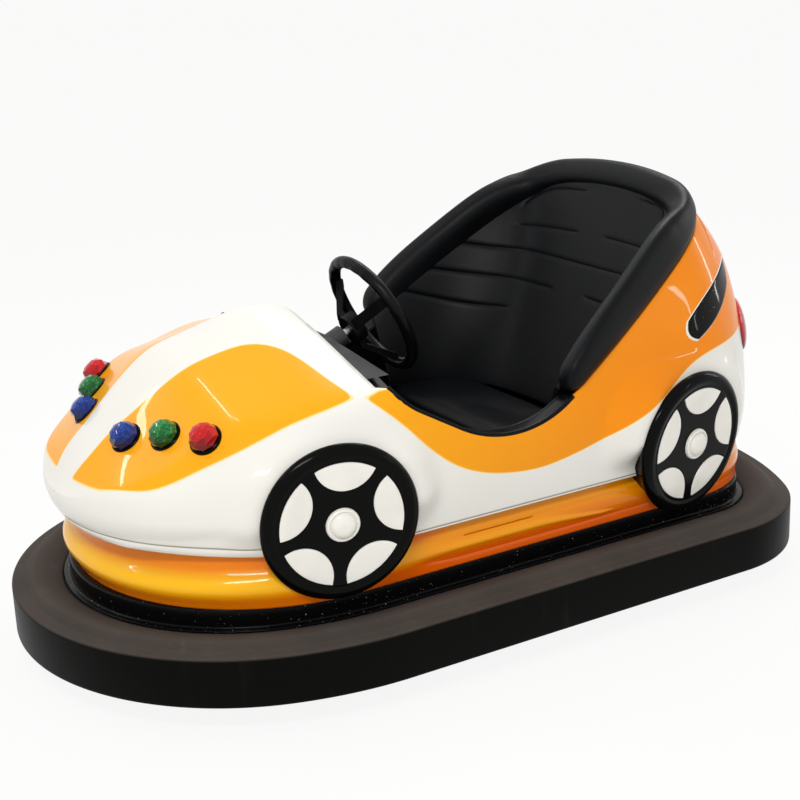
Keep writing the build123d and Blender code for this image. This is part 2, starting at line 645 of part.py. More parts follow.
def drive_unit():
    """Turntable with its fork and motor, which the steering turns, and the driven wheel."""
    low = FLOOR_TOP_Z + LEDGE_HEIGHT + COLLAR_GAP
    table = Pos(0, DRIVE_Y, low + TURNTABLE_THICKNESS / 2) * Cylinder(TURNTABLE_RADIUS, TURNTABLE_THICKNESS)
    half = DRIVE_WHEEL_WIDTH / 2
    near = half + FORK_GAP
    room = DRIVE_WHEEL_RADIUS + FORK_GAP
    table -= plate(-near, near, DRIVE_Y - room, DRIVE_Y + room, 0, SPACE_Z)
    far = near + FORK_WALL
    for side in (-1, 1):
        table += plate(side * near, side * far, DRIVE_Y - FORK_LENGTH / 2, DRIVE_Y + FORK_LENGTH / 2,
                       FORK_BOTTOM_Z, FORK_TOP_Z)
    table += Pos(0, DRIVE_Y, DRIVE_WHEEL_RADIUS) * Rot(0, 90, 0) * Cylinder(DRIVE_AXLE_RADIUS, 2 * (far + AXLE_STUB))
    table_top = low + TURNTABLE_THICKNESS
    foot_x = far + MOTOR_PLATE_WALL
    motor_z = table_top + MOTOR_RADIUS
    motor = Pos(foot_x + MOTOR_LENGTH / 2, DRIVE_Y, motor_z) * Rot(0, 90, 0) * Cylinder(MOTOR_RADIUS, MOTOR_LENGTH)
    motor += plate(far, foot_x, DRIVE_Y - MOTOR_PLATE_LENGTH / 2, DRIVE_Y + MOTOR_PLATE_LENGTH / 2,
                   table_top, MOTOR_PLATE_TOP_Z)
    motor += plate(foot_x, foot_x + MOTOR_FOOT_LENGTH, DRIVE_Y - MOTOR_FOOT_WIDTH / 2,
                   DRIVE_Y + MOTOR_FOOT_WIDTH / 2, table_top, motor_z)
    parts = {"drive_turntable": table, "drive_motor": motor}
    parts.update(rolling_wheel(DRIVE_WHEEL_RADIUS, DRIVE_WHEEL_WIDTH, DRIVE_HUB_RADIUS,
                               DRIVE_AXLE_RADIUS + RUNNING_GAP, "drive_wheel", 0, DRIVE_Y))
    return parts


def steer_place():
    """Plane square to the steering axis, at the centre of the wheel's rim."""
    tilt = math.radians(STEER_TILT)
    return Plane(origin=STEER_RIM_CENTRE, x_dir=(1, 0, 0), z_dir=(0, math.cos(tilt), math.sin(tilt)))


def steering():
    """Steering wheel with its shaft, and the fixed column that carries it."""
    place = steer_place().location
    hub_low = -STEER_DISH - STEER_HUB_LENGTH / 2
    rim = place * Torus(STEER_RIM_RADIUS, STEER_TUBE_RADIUS)
    spokes = Pos(0, 0, -STEER_DISH) * Cylinder(STEER_HUB_RADIUS, STEER_HUB_LENGTH)
    elbow = STEER_HUB_RADIUS + SPOKE_ELBOW
    thick = SPOKE_WALL / 2
    arm = polygon((SPOKE_ROOT_RADIUS, -STEER_DISH - thick), (elbow, -STEER_DISH - thick),
                  (STEER_RIM_RADIUS - SPOKE_ELBOW, -thick), (STEER_RIM_RADIUS, 0),
                  (STEER_RIM_RADIUS - SPOKE_ELBOW - thick, thick), (elbow, -STEER_DISH + thick),
                  (SPOKE_ROOT_RADIUS, -STEER_DISH + thick))
    for index in range(SPOKE_COUNT):
        spokes += Rot(0, 0, 90 + index * 360 / SPOKE_COUNT) * extrude(
            Plane.XZ.location * arm, amount=SPOKE_WIDTH / 2, both=True)
    shaft_length = COLUMN_END + STEER_SHAFT_TAIL + hub_low
    shaft = place * (Pos(0, 0, hub_low - shaft_length / 2) * Cylinder(STEER_SHAFT_RADIUS, shaft_length))
    length = COLUMN_END - COLUMN_START
    column = Pos(0, 0, -COLUMN_START - length / 2) * Cylinder(COLUMN_RADIUS, length)
    column -= Pos(0, 0, -COLUMN_START - length / 2) * Cylinder(STEER_SHAFT_RADIUS + RUNNING_GAP, length)
    return {"steering_rim": rim, "steering_spokes": place * spokes - rim, "steering_shaft": shaft,
            "steering_column": place * column}


def front_room(inset):
    """Space under the cowl and down to the floor, drawn in from the body, behind the hood's end."""
    arch = extrude(Face(body_section(*HOOD_SECTIONS[-1], inset)), amount=-HOOD_END_Y, dir=(0, 1, 0))
    return arch + outline_solid(LIP, FLOOR_TOP_Z, BELT_Z, inset)


def rims():
    """Padded rim round the seat, sill trims on the doors and the liner inside them."""
    cut = opening()
    arch = tunnel(shifted(TAIL_SECTIONS[:RIM_PAD_SECTION_COUNT], -RIM_PAD_PROUD), RIM_PAD_WIDTH + RIM_PAD_PROUD)
    pad = (arch & cut) - opening(-RIM_PAD_DEPTH / 2, RIM_PAD_DEPTH)
    door, tail = HOOD_SECTIONS[-1], TAIL_SECTIONS[0]
    sill = side_strip(door, HOOD_END_Y, TAIL_FRONT_Y, SILL_TRIM_INSET, SILL_TRIM_WIDTH, BELT_Z, SIDE_TOP_Z)
    sill = (sill & cut) - opening(0, SILL_TRIM_DEPTH)
    liner = side_strip(door, HOOD_END_Y, TAIL_FRONT_Y, LINER_INSET, LINER_WALL, FLOOR_TOP_Z, SIDE_TOP_Z)
    liner += side_strip(tail, TAIL_FRONT_Y, LINER_END_Y, LINER_INSET, LINER_WALL, FLOOR_TOP_Z, tail[2])
    return {"seat_rim": pad, "sill_trim": sill, "cockpit_liner": liner - opening(0, -PAD_GAP)}


def seat():
    """Boxed seat base, cushion, and a back that curves round the rider and fills the tail."""
    inner = LINER_INSET + LINER_WALL + PAD_GAP
    width = BELT[0]
    base = plate(-width, width, SEAT_FRONT_Y, SEAT_BASE_END_Y, FLOOR_TOP_Z, SEAT_BASE_Z)
    base &= outline_solid(BELT, FLOOR_TOP_Z, BELT_Z, inner)
    core = plate(-width, width, SEAT_FRONT_Y + SEAT_BASE_WALL, SEAT_BASE_END_Y - SEAT_BASE_WALL,
                 0, SEAT_BASE_Z - SEAT_BASE_WALL)
    base -= core & outline_solid(BELT, 0, BELT_Z, inner + SEAT_BASE_WALL)
    foot_z = SEAT_BASE_Z + PAD_GAP
    incline = Vector(0, BACK_TOP_Y - BACK_FOOT_Y, BACK_TOP_Z - SEAT_BASE_Z)
    place = Plane(origin=(0, BACK_FOOT_Y, foot_z), x_dir=(1, 0, 0), z_dir=incline).location
    middle = Pos(0, -BACK_HOLLOW_RADIUS)
    hollow = middle * Circle(BACK_HOLLOW_RADIUS)
    window = Rectangle(2 * width, 2 * width)
    slab = (middle * Circle(BACK_HOLLOW_RADIUS + BACK_THICKNESS) - hollow) & window
    behind = (middle * Circle(BACK_HOLLOW_RADIUS + width) - hollow) & window
    back = extrude(place * slab, amount=SPACE_Z, dir=incline.normalized())
    back_zone = extrude(place * behind, amount=3 * CUSHION_DEPTH, dir=incline.normalized())
    room = form(TAIL_SECTIONS[:TAIL_HOLLOW_COUNT], RIM_PAD_WIDTH + PAD_GAP)
    room += outline_solid(BELT, foot_z, BELT_Z, RIM_PAD_WIDTH + PAD_GAP)
    back = (back & room) - opening(-RIM_PAD_DEPTH / 2, RIM_PAD_DEPTH - BACK_DROP)
    cushion = plate(-width, width, SEAT_FRONT_Y - CUSHION_OVERHANG, BACK_FOOT_Y, foot_z,
                    SEAT_BASE_Z + CUSHION_DEPTH)
    cushion &= outline_solid(BELT, 0, BELT_Z, inner + CUSHION_OVERHANG)
    cushion -= Pos(0, -2 * PAD_GAP, -2) * back_zone
    return {"seat_base": base, "seat_back": back, "seat_cushion": cushion}


def footwell():
    """Dash behind the cowl, bulkhead, battery under the seat and accelerator pedal."""
    front = HOOD_END_Y + FRONT_GAP
    rows = ((front, DASH_TOP_Z), *DASH_CORNERS, (front, DASH_FOOT_Z))
    wall = SILL_TRIM_INSET + SILL_TRIM_WIDTH + PAD_GAP
    sides = side_strip(HOOD_SECTIONS[-1], HOOD_END_Y, 0, 0, wall, BELT_Z, SIDE_TOP_Z + PAD_GAP)
    bore = steer_place().location * (Pos(0, 0, -COLUMN_END) * Cylinder(COLUMN_RADIUS, 2 * COLUMN_END))
    dash = (prism_across(rows, SPACE_X) & front_room(SHELL_WALL + PAD_GAP)) - sides - bore
    bulkhead = plate(-SPACE_X, SPACE_X, front, front + BULKHEAD_WALL, FLOOR_TOP_Z, DASH_FOOT_Z)
    bulkhead &= front_room(LINER_INSET + LINER_WALL + PAD_GAP)
    size_x, size_y, size_z = BATTERY_SIZE
    battery = plate(-size_x / 2, size_x / 2, BATTERY_Y - size_y / 2, BATTERY_Y + size_y / 2,
                    FLOOR_TOP_Z, FLOOR_TOP_Z + size_z)
    return {"dash_panel": dash, "footwell_bulkhead": bulkhead, "battery_block": battery,
            "accelerator_pedal": pedal()}


def pedal():
    """Leaning pedal plate on the floor with the strut behind it."""
    top_y, top_z = PEDAL_TOP
    slope = (top_z - FLOOR_TOP_Z) / (PEDAL_FOOT_Y - top_y)
    leaf = ((PEDAL_FOOT_Y, FLOOR_TOP_Z), (PEDAL_FOOT_Y + PEDAL_WALL, FLOOR_TOP_Z),
            (top_y + PEDAL_WALL, top_z), (top_y, top_z))
    near = PEDAL_STRUT_Y + PEDAL_STRUT_WALL
    heights = [FLOOR_TOP_Z + slope * (PEDAL_FOOT_Y - y) + PEDAL_SINK for y in (near, PEDAL_STRUT_Y)]
    strut = ((PEDAL_STRUT_Y, FLOOR_TOP_Z), (near, FLOOR_TOP_Z), (near, heights[0]), (PEDAL_STRUT_Y, heights[1]))
    piece = prism_across(leaf, PEDAL_WIDTH / 2) + prism_across(strut, PEDAL_STRUT_WIDTH / 2)
    return Pos(PEDAL_X, 0, 0) * piece


def nose_lamps(hood_form):
    """Three pairs of domed lamps seated on the hood."""
    parts = {}
    facets = [(LAMP_RADIUS * across, LAMP_DEPTH * up) for across, up in LAMP_FACETS]
    profile = polygon((0, -LAMP_ROOT), (LAMP_RADIUS, -LAMP_ROOT), *facets, (0, LAMP_DEPTH))
    dome = revolve(Plane.XZ.location * profile, Axis.Z)
    for colour, x, y in LAMPS:
        hits = hood_form.find_intersection_points(Axis((x, y, SPACE_Z), (0, 0, -1)))
        point, normal = hits[0]
        lamp = Plane(origin=point, z_dir=normal).location * dome - hood_form
        lamp = max(lamp.solids(), key=lambda solid: solid.volume)
        parts["nose_lamps_" + colour] = Compound(children=[lamp, mirror(lamp, Plane.YZ)])
    return parts


def tail_fittings():
    """Black quarter windows and red tail lamps, laid on the tail's sides."""
    rows = TAIL_SECTIONS[1:]
    glass = tunnel(shifted(rows, -WINDOW_PROUD), WINDOW_PROUD - PAD_GAP)
    top, front, foot, rear = WINDOW_POINTS
    with BuildLine() as line:
        ThreePointArc(top, WINDOW_UPPER, front)
        ThreePointArc(front, WINDOW_NOSE, foot)
        ThreePointArc(foot, WINDOW_LOWER, rear)
        ThreePointArc(rear, WINDOW_REAR, top)
    place = Plane(origin=(0, 0, 0), x_dir=(0, 1, 0), z_dir=(1, 0, 0))
    window = extrude(place.location * make_face(line.line), amount=SPACE_X) & glass
    lens = tunnel(shifted(rows, -TAIL_LAMP_PROUD), TAIL_LAMP_PROUD - PAD_GAP)
    heading = math.radians(TAIL_LAMP_HEADING)
    aim = Plane(origin=TAIL_LAMP_CENTRE, x_dir=(-math.sin(heading), math.cos(heading), 0),
                z_dir=(math.cos(heading), math.sin(heading), 0))
    lamp = extrude(aim.location * Ellipse(*TAIL_LAMP_RADII), amount=TAIL_LAMP_RADII[1], both=True) & lens
    return {
        "quarter_windows": Compound(children=[window, mirror(window, Plane.YZ)]),
        "tail_lamps": Compound(children=[lamp, mirror(lamp, Plane.YZ)]),
    }


def build_parts():
    """Every piece of the car by node name."""
    panels, band_form = body_panels()
    skirt_form = outline_solid(SKIRT, SKIRT_FACE[0][1], LIP_Z, min(inset for inset, z in SKIRT_FACE))
    door_form = extrude(Face(body_section(*HOOD_SECTIONS[-1])), amount=TAIL_FRONT_Y - HOOD_END_Y, dir=(0, 1, 0))
    pan_form = outline_solid(RING, RIM_TOP_Z, PAN_TOP_Z, RING_THICKNESS + PAN_SHELF)
    envelope = [band_form, skirt_form, pan_form, form(HOOD_SECTIONS[2:]), form(TAIL_SECTIONS[:-1]), door_form]
    parts = ring_parts()
    parts["skirt"] = skirt()
    parts.update(panels)
    parts.update(disc_parts(envelope))
    parts.update(chassis())
    parts.update(drive_unit())
    for side, name in ((1, "rear_wheel_left"), (-1, "rear_wheel_right")):
        parts.update(rolling_wheel(REAR_WHEEL_RADIUS, REAR_WHEEL_WIDTH, REAR_HUB_RADIUS,
                                   REAR_AXLE_RADIUS + RUNNING_GAP, name, side * REAR_WHEEL_X, REAR_WHEEL_Y))
    parts.update(rims())
    parts.update(seat())
    parts.update(footwell())
    parts.update(steering())
    parts.update(nose_lamps(form(HOOD_SECTIONS[1:])))
    parts.update(tail_fittings())
    return parts


def main():
    """Build every piece and write one STEP file for each."""
    os.makedirs("parts", exist_ok=True)
    for name, solid in build_parts().items():
        print(name, len(solid.solids()), solid.is_valid, round(solid.volume / 1e6, 3))
        export_step(solid, "parts/" + name + ".step")


if __name__ == "__main__":
    main()
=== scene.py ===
"""Fairground bumper car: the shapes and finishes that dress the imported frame.

Blender objects are in metres. The tables and dataclass fields below are in millimetres, in the same
frame: origin on the floor under the rubber ring, nose towards -Y, the car's left side towards +X, +Z up.
"""

import json
import logging
import math
from dataclasses import dataclass
from enum import Enum
from typing import Callable

import bmesh
import bpy
import numpy as np
from mathutils import Matrix, Vector

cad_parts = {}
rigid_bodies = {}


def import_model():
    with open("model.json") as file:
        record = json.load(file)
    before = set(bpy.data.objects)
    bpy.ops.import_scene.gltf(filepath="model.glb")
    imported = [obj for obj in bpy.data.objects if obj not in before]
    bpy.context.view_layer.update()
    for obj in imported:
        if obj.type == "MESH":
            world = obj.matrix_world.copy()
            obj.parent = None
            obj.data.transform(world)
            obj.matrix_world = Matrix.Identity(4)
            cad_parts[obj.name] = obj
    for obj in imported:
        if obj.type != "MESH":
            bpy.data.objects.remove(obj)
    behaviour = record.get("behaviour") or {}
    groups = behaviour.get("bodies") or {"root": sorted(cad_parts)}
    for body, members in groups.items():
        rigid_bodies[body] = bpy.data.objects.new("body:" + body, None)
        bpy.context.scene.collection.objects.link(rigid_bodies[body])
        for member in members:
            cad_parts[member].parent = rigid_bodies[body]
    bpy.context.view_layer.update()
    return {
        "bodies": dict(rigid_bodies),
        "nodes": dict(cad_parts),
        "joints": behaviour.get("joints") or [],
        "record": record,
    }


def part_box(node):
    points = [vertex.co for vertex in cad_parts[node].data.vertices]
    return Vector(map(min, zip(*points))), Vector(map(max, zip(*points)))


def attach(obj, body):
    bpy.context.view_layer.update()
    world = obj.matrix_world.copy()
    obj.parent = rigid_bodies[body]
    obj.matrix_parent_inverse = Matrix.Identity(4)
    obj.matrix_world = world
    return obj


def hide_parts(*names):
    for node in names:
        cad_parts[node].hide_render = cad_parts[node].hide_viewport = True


LOG = logging.getLogger("bumper_car")
MM = 0.001
Array = np.ndarray
Triple = tuple[float, float, float]
Colour = Triple
Line = tuple[tuple[float, float], ...]
Material = bpy.types.Material
Piece = bpy.types.Object


class Body(Enum):
    """Rigid bodies that pieces ride on."""

    CHASSIS = "chassis"
    STEERING = "steering_wheel"


def srgb(red: int, green: int, blue: int) -> Colour:
    """Linear colour of an 8-bit screen colour.

    Args:
        red: red level, 0 to 255.
        green: green level.
        blue: blue level.

    Returns:
        The three linear levels.
    """
    def linear(level: int) -> float:
        """Screen level to linear light."""
        share = level / 255
        return share / 12.92 if share <= 0.04045 else ((share + 0.055) / 1.055) ** 2.4
    return linear(red), linear(green), linear(blue)


def smoothstep(value: Array, low: float, high: float) -> Array:
    """Smooth rise from 0 at low to 1 at high.

    Args:
        value: where to read the rise.
        low: start of the rise.
        high: end of the rise.

    Returns:
        t * t * (3 - 2 t), with t the clamped share of the way.
    """
    share = np.clip((value - low) / (high - low), 0.0, 1.0)
    return share * share * (3.0 - 2.0 * share)


def spline(knots: Array, values: Array, at: Array) -> Array:
    """Natural cubic spline through knots.

    Args:
        knots: rising positions.
        values: value at each knot.
        at: where to read the spline, clamped to the knots.

    Returns:
        The spline's values, of the same shape as at.
    """
    knots, values = np.asarray(knots, float), np.asarray(values, float)
    step = np.diff(knots)
    slope = np.diff(values) / step
    system = np.eye(len(knots))
    rows = np.arange(1, len(knots) - 1)
    system[rows, rows - 1] = step[:-1]
    system[rows, rows] = 2 * (step[:-1] + step[1:])
    system[rows, rows + 1] = step[1:]
    right = np.zeros(len(knots))
    right[1:-1] = 6 * np.diff(slope)
    bend = np.linalg.solve(system, right)
    at = np.clip(at, knots[0], knots[-1])
    index = np.clip(np.searchsorted(knots, at, side="right") - 1, 0, len(step) - 1)
    after, before, span = at - knots[index], knots[index + 1] - at, step[index]
    curve = (bend[index] * before**3 + bend[index + 1] * after**3) / (6 * span)
    return (curve + (values[index] / span - bend[index] * span / 6) * before
            + (values[index + 1] / span - bend[index + 1] * span / 6) * after)


def chord_lengths(points: Array) -> Array:
    """Length along a polyline up to each of its points."""
    return np.concatenate([[0.0], np.cumsum(np.linalg.norm(np.diff(points, axis=0), axis=1))])


def smooth_line(points: Line, count: int) -> Array:
    """Curve through a few points, each coordinate a cubic spline of the length so far.

    Args:
        points: points that the curve passes through.
        count: points on the result.

    Returns:
        Array of count points, evenly spaced along the chords.
    """
    corners = np.asarray(points, float)
    length = chord_lengths(corners)
    at = np.linspace(0.0, length[-1], count)
    return np.stack([spline(length, column, at) for column in corners.T], -1)


def even(points: Array, count: int) -> Array:
    """The same curve with count points evenly spaced along it.

    Args:
        points: (n, k) polyline.
        count: points on the result.

    Returns:
        (count, k) array.
    """
    length = chord_lengths(points)
    at = np.linspace(0.0, length[-1], count)
    return np.stack([np.interp(at, length, column) for column in points.T], -1)


def full_turn(count: int) -> Array:
    """Angles of a whole turn in even steps, without the last."""
    return np.linspace(0.0, 2 * math.pi, count, endpoint=False)


def signed_power(value: Array, power: float) -> Array:
    """Power of the size, with the value's own sign."""
    return np.sign(value) * np.abs(value) ** power


def halved(under: Callable[[Array], Array], low: Array, high: Array) -> Array:
    """Where a test turns from true to false between low and high, by halving the range 40 times.

    Args:
        under: the test.
        low: where it holds.
        high: where it doesn't.

    Returns:
        The turning points.
    """
    for _ in range(40):
        middle = (low + high) / 2
        below = under(middle)
        low, high = np.where(below, middle, low), np.where(below, high, middle)
    return (low + high) / 2


def turned(radius: Array, height: Array, turn: Array, place: tuple[Array, ...]) -> Array:
    """Points at a radius, a height and an angle about the axis of a frame.

    Args:
        radius: distance of each point from the axis.
        height: distance along the axis.
        turn: angle from the frame's first direction to its second.
        place: origin, first and second direction and axis.

    Returns:
        (..., 3) points.
    """
    origin, across, up, axis = place
    return (origin + (radius * np.cos(turn))[..., None] * across + (radius * np.sin(turn))[..., None] * up
            + np.asarray(height)[..., None] * axis)


def rounded(corners: Line, radius: float, steps: int = 5) -> Array:
    """Closed outline whose corners are rounded by quadratic curves.

    Args:
        corners: corner points in order.
        radius: how far from each corner its curve starts, at most 0.45 of the shorter side.
        steps: points on each corner's curve.

    Returns:
        Array of points: each curve is (1-t)^2 A + 2 t (1-t) C + t^2 B, with C the corner.
    """
    points = np.asarray(corners, float)
    before, after = np.roll(points, 1, axis=0) - points, np.roll(points, -1, axis=0) - points
    reach = [np.linalg.norm(side, axis=1, keepdims=True) for side in (before, after)]
    cut = np.minimum(radius, 0.45 * np.minimum(*reach))
    first, last = points + before / reach[0] * cut, points + after / reach[1] * cut
    share = np.linspace(0.0, 1.0, steps)[None, :, None]
    curve = ((1 - share) ** 2 * first[:, None] + 2 * share * (1 - share) * points[:, None]
             + share**2 * last[:, None])
    return curve.reshape(-1, 2)


def line_distance(points: Array, line: Array) -> Array:
    """Signed distance to an open polyline in a plane.

    Args:
        points: (..., 2) points.
        line: (n, 2) polyline.

    Returns:
        Distance to the nearest segment, positive on its right-hand side.
    """
    start, along = line[:-1], np.diff(line, axis=0)
    gap = points[..., None, :] - start
    share = np.clip((gap * along).sum(-1) / (along * along).sum(-1), 0.0, 1.0)
    rest = gap - share[..., None] * along
    distance = np.linalg.norm(rest, axis=-1)
    nearest = distance.argmin(-1)[..., None]
    side = gap[..., 1] * along[:, 0] - gap[..., 0] * along[:, 1]
    sign = np.where(np.take_along_axis(side, nearest, -1) < 0, 1.0, -1.0)
    return (np.take_along_axis(distance, nearest, -1) * sign)[..., 0]


def linked(name: str, data: bpy.types.ID) -> Piece:
    """New object of that name in the scene.

    Args:
        name: its name.
        data: mesh, light or camera that it shows.

    Returns:
        The object.
    """
    made = bpy.data.objects.new(name, data)
    bpy.context.scene.collection.objects.link(made)
    return made


def thicken(piece: Piece, wall: float) -> None:
    """Gives a skin a wall, in millimetres, on its inner side."""
    modifier = piece.modifiers.new("wall", "SOLIDIFY")
    modifier.thickness, modifier.offset = wall * MM, -1.0


class Link:
    """A shader socket that takes part in Python sums; each operator adds a Math node."""

    def __init__(self, shader: "Shader", socket: bpy.types.NodeSocket) -> None:
        """Wraps a socket.

        Args:
            shader: material that the socket is in.
            socket: output socket.
        """
        self.shader = shader
        self.socket = socket

    def math(self, operation: str, other: "Link | float") -> "Link":
        """Result of a Math node.

        Args:
            operation: the node's operation.
            other: its second value.

        Returns:
            The node's output.
        """
        return self.shader.node("ShaderNodeMath", {"operation": operation}, {0: self, 1: other})

    def __add__(self, other: "Link | float") -> "Link":
        """Sum."""
        return self.math("ADD", other)

    def __sub__(self, other: "Link | float") -> "Link":
        """Difference."""
        return self.math("SUBTRACT", other)

    def __rsub__(self, other: float) -> "Link":
        """A number less this value."""
        return (self * -1.0) + other

    def __mul__(self, other: "Link | float") -> "Link":
        """Product."""
        return self.math("MULTIPLY", other)

    __radd__ = __add__
    __rmul__ = __mul__

    def rise(self, low: float, high: float) -> "Link":
        """Smooth rise from 0 at low to 1 at high, or a fall where low is above high.

        Args:
            low: where it is 0.
            high: where it is 1.

        Returns:
            The node's output.
        """
        values = {"Value": self, "From Min": min(low, high), "From Max": max(low, high),
                  "To Min": float(low > high), "To Max": float(low < high)}
        return self.shader.node("ShaderNodeMapRange", {"interpolation_type": "SMOOTHSTEP"}, values)


class Shader:
    """One material with a Principled surface, and the means to add nodes to it."""

    def __init__(self, name: str) -> None:
        """Makes the empty material.

        Args:
            name: the material's name.
        """
        self.material = bpy.data.materials.new(name)
        self.material.use_nodes = True
        self.tree = self.material.node_tree
        self.surface = self.tree.nodes["Principled BSDF"]

    def node(self, kind: str, settings: dict | None = None, values: dict | None = None,
             output: int | str = 0) -> Link:
        """Adds any node.

        Args:
            kind: the node's type.
            settings: properties, set before the sockets.
            values: number, colour or Link for each socket, by name or index.
            output: which output to return.

        Returns:
            That output.
        """
        made = self.tree.nodes.new(kind)
        for key, value in (settings or {}).items():
            setattr(made, key, value)
        for key, value in (values or {}).items():
            self.feed(made.inputs[key], value)
        return Link(self, made.outputs[output])

    def feed(self, socket: bpy.types.NodeSocket, value: "Link | float | tuple") -> None:
        """Links a socket or sets its value, with full alpha added to a colour.

        Args:
            socket: input socket.
            value: what it gets.
        """
        if isinstance(value, Link):
            self.tree.links.new(value.socket, socket)
        elif isinstance(value, tuple) and socket.type == "RGBA":
            socket.default_value = (*value[:3], 1.0)
        else:
            socket.default_value = value

    def mix(self, factor: Link, first: "Link | Colour", second: "Link | Colour") -> Link:
        """Colour between two, at factor from the first to the second."""
        return self.node("ShaderNodeMix", {"data_type": "RGBA"}, {0: factor, 6: first, 7: second}, 2)

    def place(self) -> Link:
        """Position on the object, in metres."""
        return self.node("ShaderNodeTexCoord", output="Object")

    def part(self, vector: Link, index: int) -> Link:
        """One part of a vector, counted from 0."""
        return self.node("ShaderNodeSeparateXYZ", None, {0: vector}, index)

    def axis(self, index: int) -> Link:
        """One coordinate of the position on the object."""
        return self.part(self.place(), index)

    def facing_up(self) -> Link:
        """Upward part of the surface's own normal."""
        return self.part(self.node("ShaderNodeNewGeometry", output="Normal"), 2)

    def value(self, name: str) -> Link:
        """Number that the mesh carries under that name."""
        return self.node("ShaderNodeAttribute", {"attribute_name": name}, output="Fac")

    def noise(self, scale: float, detail: float = 3.0, stretch: Triple | None = None) -> Link:
        """Noise on the object's coordinates, 0 to 1 around a half.

        Args:
            scale: cells to the metre.
            detail: octaves.
            stretch: scale of each coordinate, or None for even.

        Returns:
            The noise.
        """
        place = self.place()
        if stretch is not None:
            place = self.node("ShaderNodeMapping", None, {"Vector": place, "Scale": stretch})
        return self.node("ShaderNodeTexNoise", None, {"Vector": place, "Scale": scale, "Detail": detail})

    def bump(self, height: Link, distance: float, strength: float) -> None:
        """Feeds a height, in shares of distance in metres, to the surface's normal."""
        values = {"Height": height, "Distance": distance, "Strength": strength}
        self.set(Normal=self.node("ShaderNodeBump", None, values))

    def set(self, **values: "Link | float | tuple") -> "Shader":
        """Sets the surface's sockets, with a blank in each name written as an underscore.

        Args:
            values: number, colour or Link for each socket.

        Returns:
            The shader itself.
        """
        for key, value in values.items():
            self.feed(self.surface.inputs[key.replace("_", " ")], value)
        return self


class Skin:
    """Grids of points, in millimetres, gathered into one mesh with numbers on its points.

    SEAM and SLIVER are metres within which points join and edges are dropped.
    """

    SEAM, SLIVER = 2e-5, 1e-6

    def __init__(self, name: str) -> None:
        """Starts an empty skin.

        Args:
            name: name of the piece.
        """
        self.name = name
        self.points: list[Array] = []
        self.quads: list[Array] = []
        self.values: dict[str, list[Array]] = {}
        self.count = 0

    def grid(self, points: Array, wrap: tuple[bool, bool] = (False, False), **values: Array) -> "Skin":
        """Adds a grid of points.

        Args:
            points: (n, m, 3) grid.
            wrap: whether the last row and the last column join the first.
            values: (n, m) numbers kept on the points.

        Returns:
            The skin itself.
        """
        rows, columns = points.shape[:2]
        index = np.arange(rows * columns).reshape(rows, columns) + self.count
        if wrap[0]:
            index = np.vstack([index, index[:1]])
        if wrap[1]:
            index = np.hstack([index, index[:, :1]])
        quads = np.stack([index[:-1, :-1], index[1:, :-1], index[1:, 1:], index[:-1, 1:]], -1).reshape(-1, 4)
        self.quads.append(quads)
        self.points.append(points.reshape(-1, 3))
        for key, value in values.items():
            self.values.setdefault(key, []).append(np.broadcast_to(value, points.shape[:2]).reshape(-1))
        self.count += rows * columns
        return self

    def mirrored(self) -> "Skin":
        """Adds the mirror image across x = 0 of all that is there.

        Returns:
            The skin itself.
        """
        self.points.append(np.concatenate(self.points) * (-1.0, 1.0, 1.0))
        self.quads.append(np.concatenate(self.quads)[:, ::-1] + self.count)
        for rows in self.values.values():
            rows.append(np.concatenate(rows))
        self.count *= 2
        return self

    def build(self, material: Material, slot: str, nodes: tuple[str, ...] = (), body: Body = Body.CHASSIS,
              outward: bool = True, sharp: float | None = None) -> Piece:
        """Makes the object, joins its seams, hangs it on its body and hides the CAD nodes that it stands for.

        Args:
            material: its material.
            slot: the record's slot; not used.
            nodes: CAD nodes that it stands for.
            body: body that it rides on.
            outward: whether to turn the faces of a closed skin outwards.
            sharp: angle in degrees above which edges stay sharp, or None for all smooth.

        Returns:
            The object.
        """
        mesh = bpy.data.meshes.new(self.name)
        points, quads = np.concatenate(self.points) * MM, np.concatenate(self.quads)
        mesh.from_pydata(points.tolist(), [], quads.tolist())
        for key, rows in self.values.items():
            layer = mesh.attributes.new(key, "FLOAT", "POINT")
            layer.data.foreach_set("value", np.concatenate(rows).astype(np.float32))
        shape = bmesh.new()
        shape.from_mesh(mesh)
        bmesh.ops.remove_doubles(shape, verts=shape.verts, dist=self.SEAM)
        bmesh.ops.dissolve_degenerate(shape, edges=shape.edges, dist=self.SLIVER)
        if outward:
            bmesh.ops.recalc_face_normals(shape, faces=shape.faces)
        shape.to_mesh(mesh)
        shape.free()
        mesh.materials.append(material)
        mesh.polygons.foreach_set("use_smooth", np.ones(len(mesh.polygons), bool))
        if sharp is not None:
            mesh.set_sharp_from_angle(angle=math.radians(sharp))
        piece = linked(self.name, mesh)
        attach(piece, body.value)
        if nodes:
            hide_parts(*nodes)
        LOG.info("%s: %d faces", self.name, len(mesh.polygons))
        return piece


